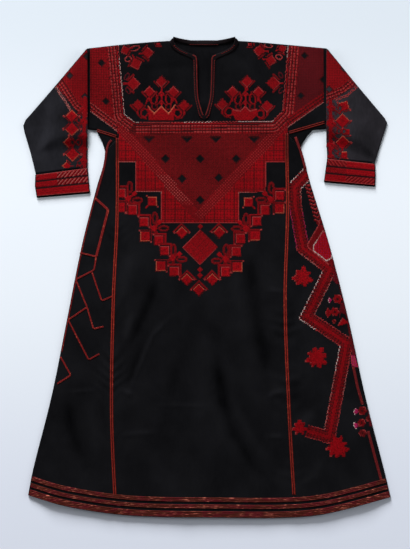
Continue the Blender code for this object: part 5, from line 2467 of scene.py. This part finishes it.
    def right_gore(self, made: Made) -> None:
        """The right gore's embroidery and its cords.

        Args:
            made: what the parts share.
        """
        canvas = Canvas.upright("gore_stitches_right", (232, -600), (540, 330), edge_top)
        self.right_fields(canvas, self.right_band(canvas))
        self.right_flowers(canvas)
        x, y = canvas.x, canvas.y
        canvas.cover((x > SIDE[1](y) - 1) | (x < SEAM[1](y) + 4.5), None)
        canvas.stitch(made.finishes.stitches, 41)
        grids = [Ribbon(line, 3.9, 1.2, edge_top, 3, 6, 0.1).grid() for line in self.lines]
        ring_piece("gore_cord_right", grids, "couched_braid", made.finishes.side_cord)

    def build(self, made: Made) -> None:
        """All of them."""
        for part in (self.braids, self.hem, self.left_cords, self.right_gore):
            part(made)


@dataclass
class Dress:
    """The whole dress, in the order that it is built."""

    neck: Neck = field(default_factory=Neck)
    sleeves: tuple[Sleeve, ...] = (LEFT_SLEEVE, RIGHT_SLEEVE)
    skirt: Skirt = field(default_factory=Skirt)

    def build(self, made: Made) -> None:
        """Panels, gores, chest embroidery, sleeves, neck and skirt trims.

        Args:
            made: what the parts share.
        """
        front, back = BodyPanel(100, 270, True), BodyPanel(22, 60, False)
        back_cloth = back.build(made, None)
        declare_cloth(back_cloth, back.grid(), False)
        front_cloth = front.build(made, self.neck)
        chest = Canvas.upright("chest_stitches", (-262, -60), (240, 692), front_top)
        stitch_chest(chest)
        margin = np.where(chest.y < 420, 5.4, -1.2)
        seams = (chest.x < SEAM[-1](chest.y) + margin) | (chest.x > SEAM[1](chest.y) - margin)
        chest.cover(seams | (chest.y > SHOULDER(chest.x) - TURN), None)
        chest.cover(inside(self.neck.outline(13), chest.x, chest.y), None)
        stitched = chest.stitch(made.finishes.stitches, 7)
        declare_cloth(front_cloth, front.grid(), False)
        for side, word in ((-1, "left"), (1, "right")):
            under, over = Gore(side, False, 12, 50), Gore(side, True, 48, 200)
            for gore, floor in ((under, "table_top"), (over, f"back_gore_{word}_cloth")):
                declare_cloth(gore.build(made), gore.grid(), False)
        for sleeve in self.sleeves:
            sleeve.build(made)
        self.neck.build(made)
        self.skirt.build(made)


@dataclass
class Studio:
    """The plain pale table, soft light and a camera straight above.

    Attributes:
        high, across, middle: the camera's height, what it sees and what it is above, in metres.
        reach: half the table, in millimetres.
        sky, sky_strength: the light from all round.
        lamps: name, place, size and power of each.
    """

    high: float = 6.0
    across: float = 1.603
    middle: tuple[float, float] = (-0.0058, 0.0088)
    reach: float = 30000.0
    sky: tuple[float, ...] = (0.93, 0.96, 1.0, 1.0)
    sky_strength: float = 0.105
    sensor: float = 36.0
    lamps: tuple[tuple[str, tuple[float, float, float], float, float], ...] = (
        ("window", (-2.6, 9.4, 3.5), 3.6, 2300.0),
        ("left_fill", (-7.0, 1.0, 2.6), 3.0, 140.0),
        ("right_fill", (7.0, 1.0, 2.6), 3.0, 210.0),
    )

    def build(self) -> None:
        """Table, world, lights and the camera."""
        corners = self.reach * np.array([[-1, -1, 0], [1, -1, 0], [1, 1, 0], [-1, 1, 0]])
        table = make_mesh("table_top", corners, np.array([[0, 1, 2, 3]]))
        table.data.materials.append(TableTop().material())
        scene = bpy.context.scene
        world = bpy.data.worlds.new("room")
        world.use_nodes = True
        background = world.node_tree.nodes["Background"]
        background.inputs["Color"].default_value = self.sky
        background.inputs["Strength"].default_value = self.sky_strength
        scene.world = world
        for name, place, size, power in self.lamps:
            self.lamp(name, place, size, power)
        camera = bpy.data.cameras.new("camera")
        camera.sensor_width = self.sensor
        camera.lens = self.sensor * self.high / self.across
        camera.clip_end = 50.0
        holder = bpy.data.objects.new("camera", camera)
        holder.location = (*self.middle, self.high)
        scene.collection.objects.link(holder)
        scene.camera = holder
        scene.view_settings.view_transform = "Standard"

    def lamp(self, name: str, place: tuple[float, float, float], size: float, power: float) -> None:
        """A square soft light that points at the dress's middle.

        Args:
            name: its name.
            place: where it hangs, in metres.
            size: its side in metres.
            power: in watts.
        """
        lamp = bpy.data.lights.new(name, "AREA")
        lamp.size = size
        lamp.energy = power
        holder = bpy.data.objects.new(name, lamp)
        holder.location = place
        x, y, z = place
        holder.rotation_euler = (math.atan2(math.hypot(x, y), z), 0.0, math.atan2(x, -y))
        bpy.context.scene.collection.objects.link(holder)


def clear_scene() -> None:
    """Removes whatever the scene starts with."""
    for thing in list(bpy.data.objects):
        bpy.data.objects.remove(thing, do_unlink=True)


def main() -> None:
    """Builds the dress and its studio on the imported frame."""
    logging.basicConfig(level=logging.INFO, format="%(message)s")
    clear_scene()
    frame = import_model()
    made = Made(Finishes(), frame["nodes"])
    Studio().build()
    Dress().build(made)


if __name__ == "__main__":
    main()
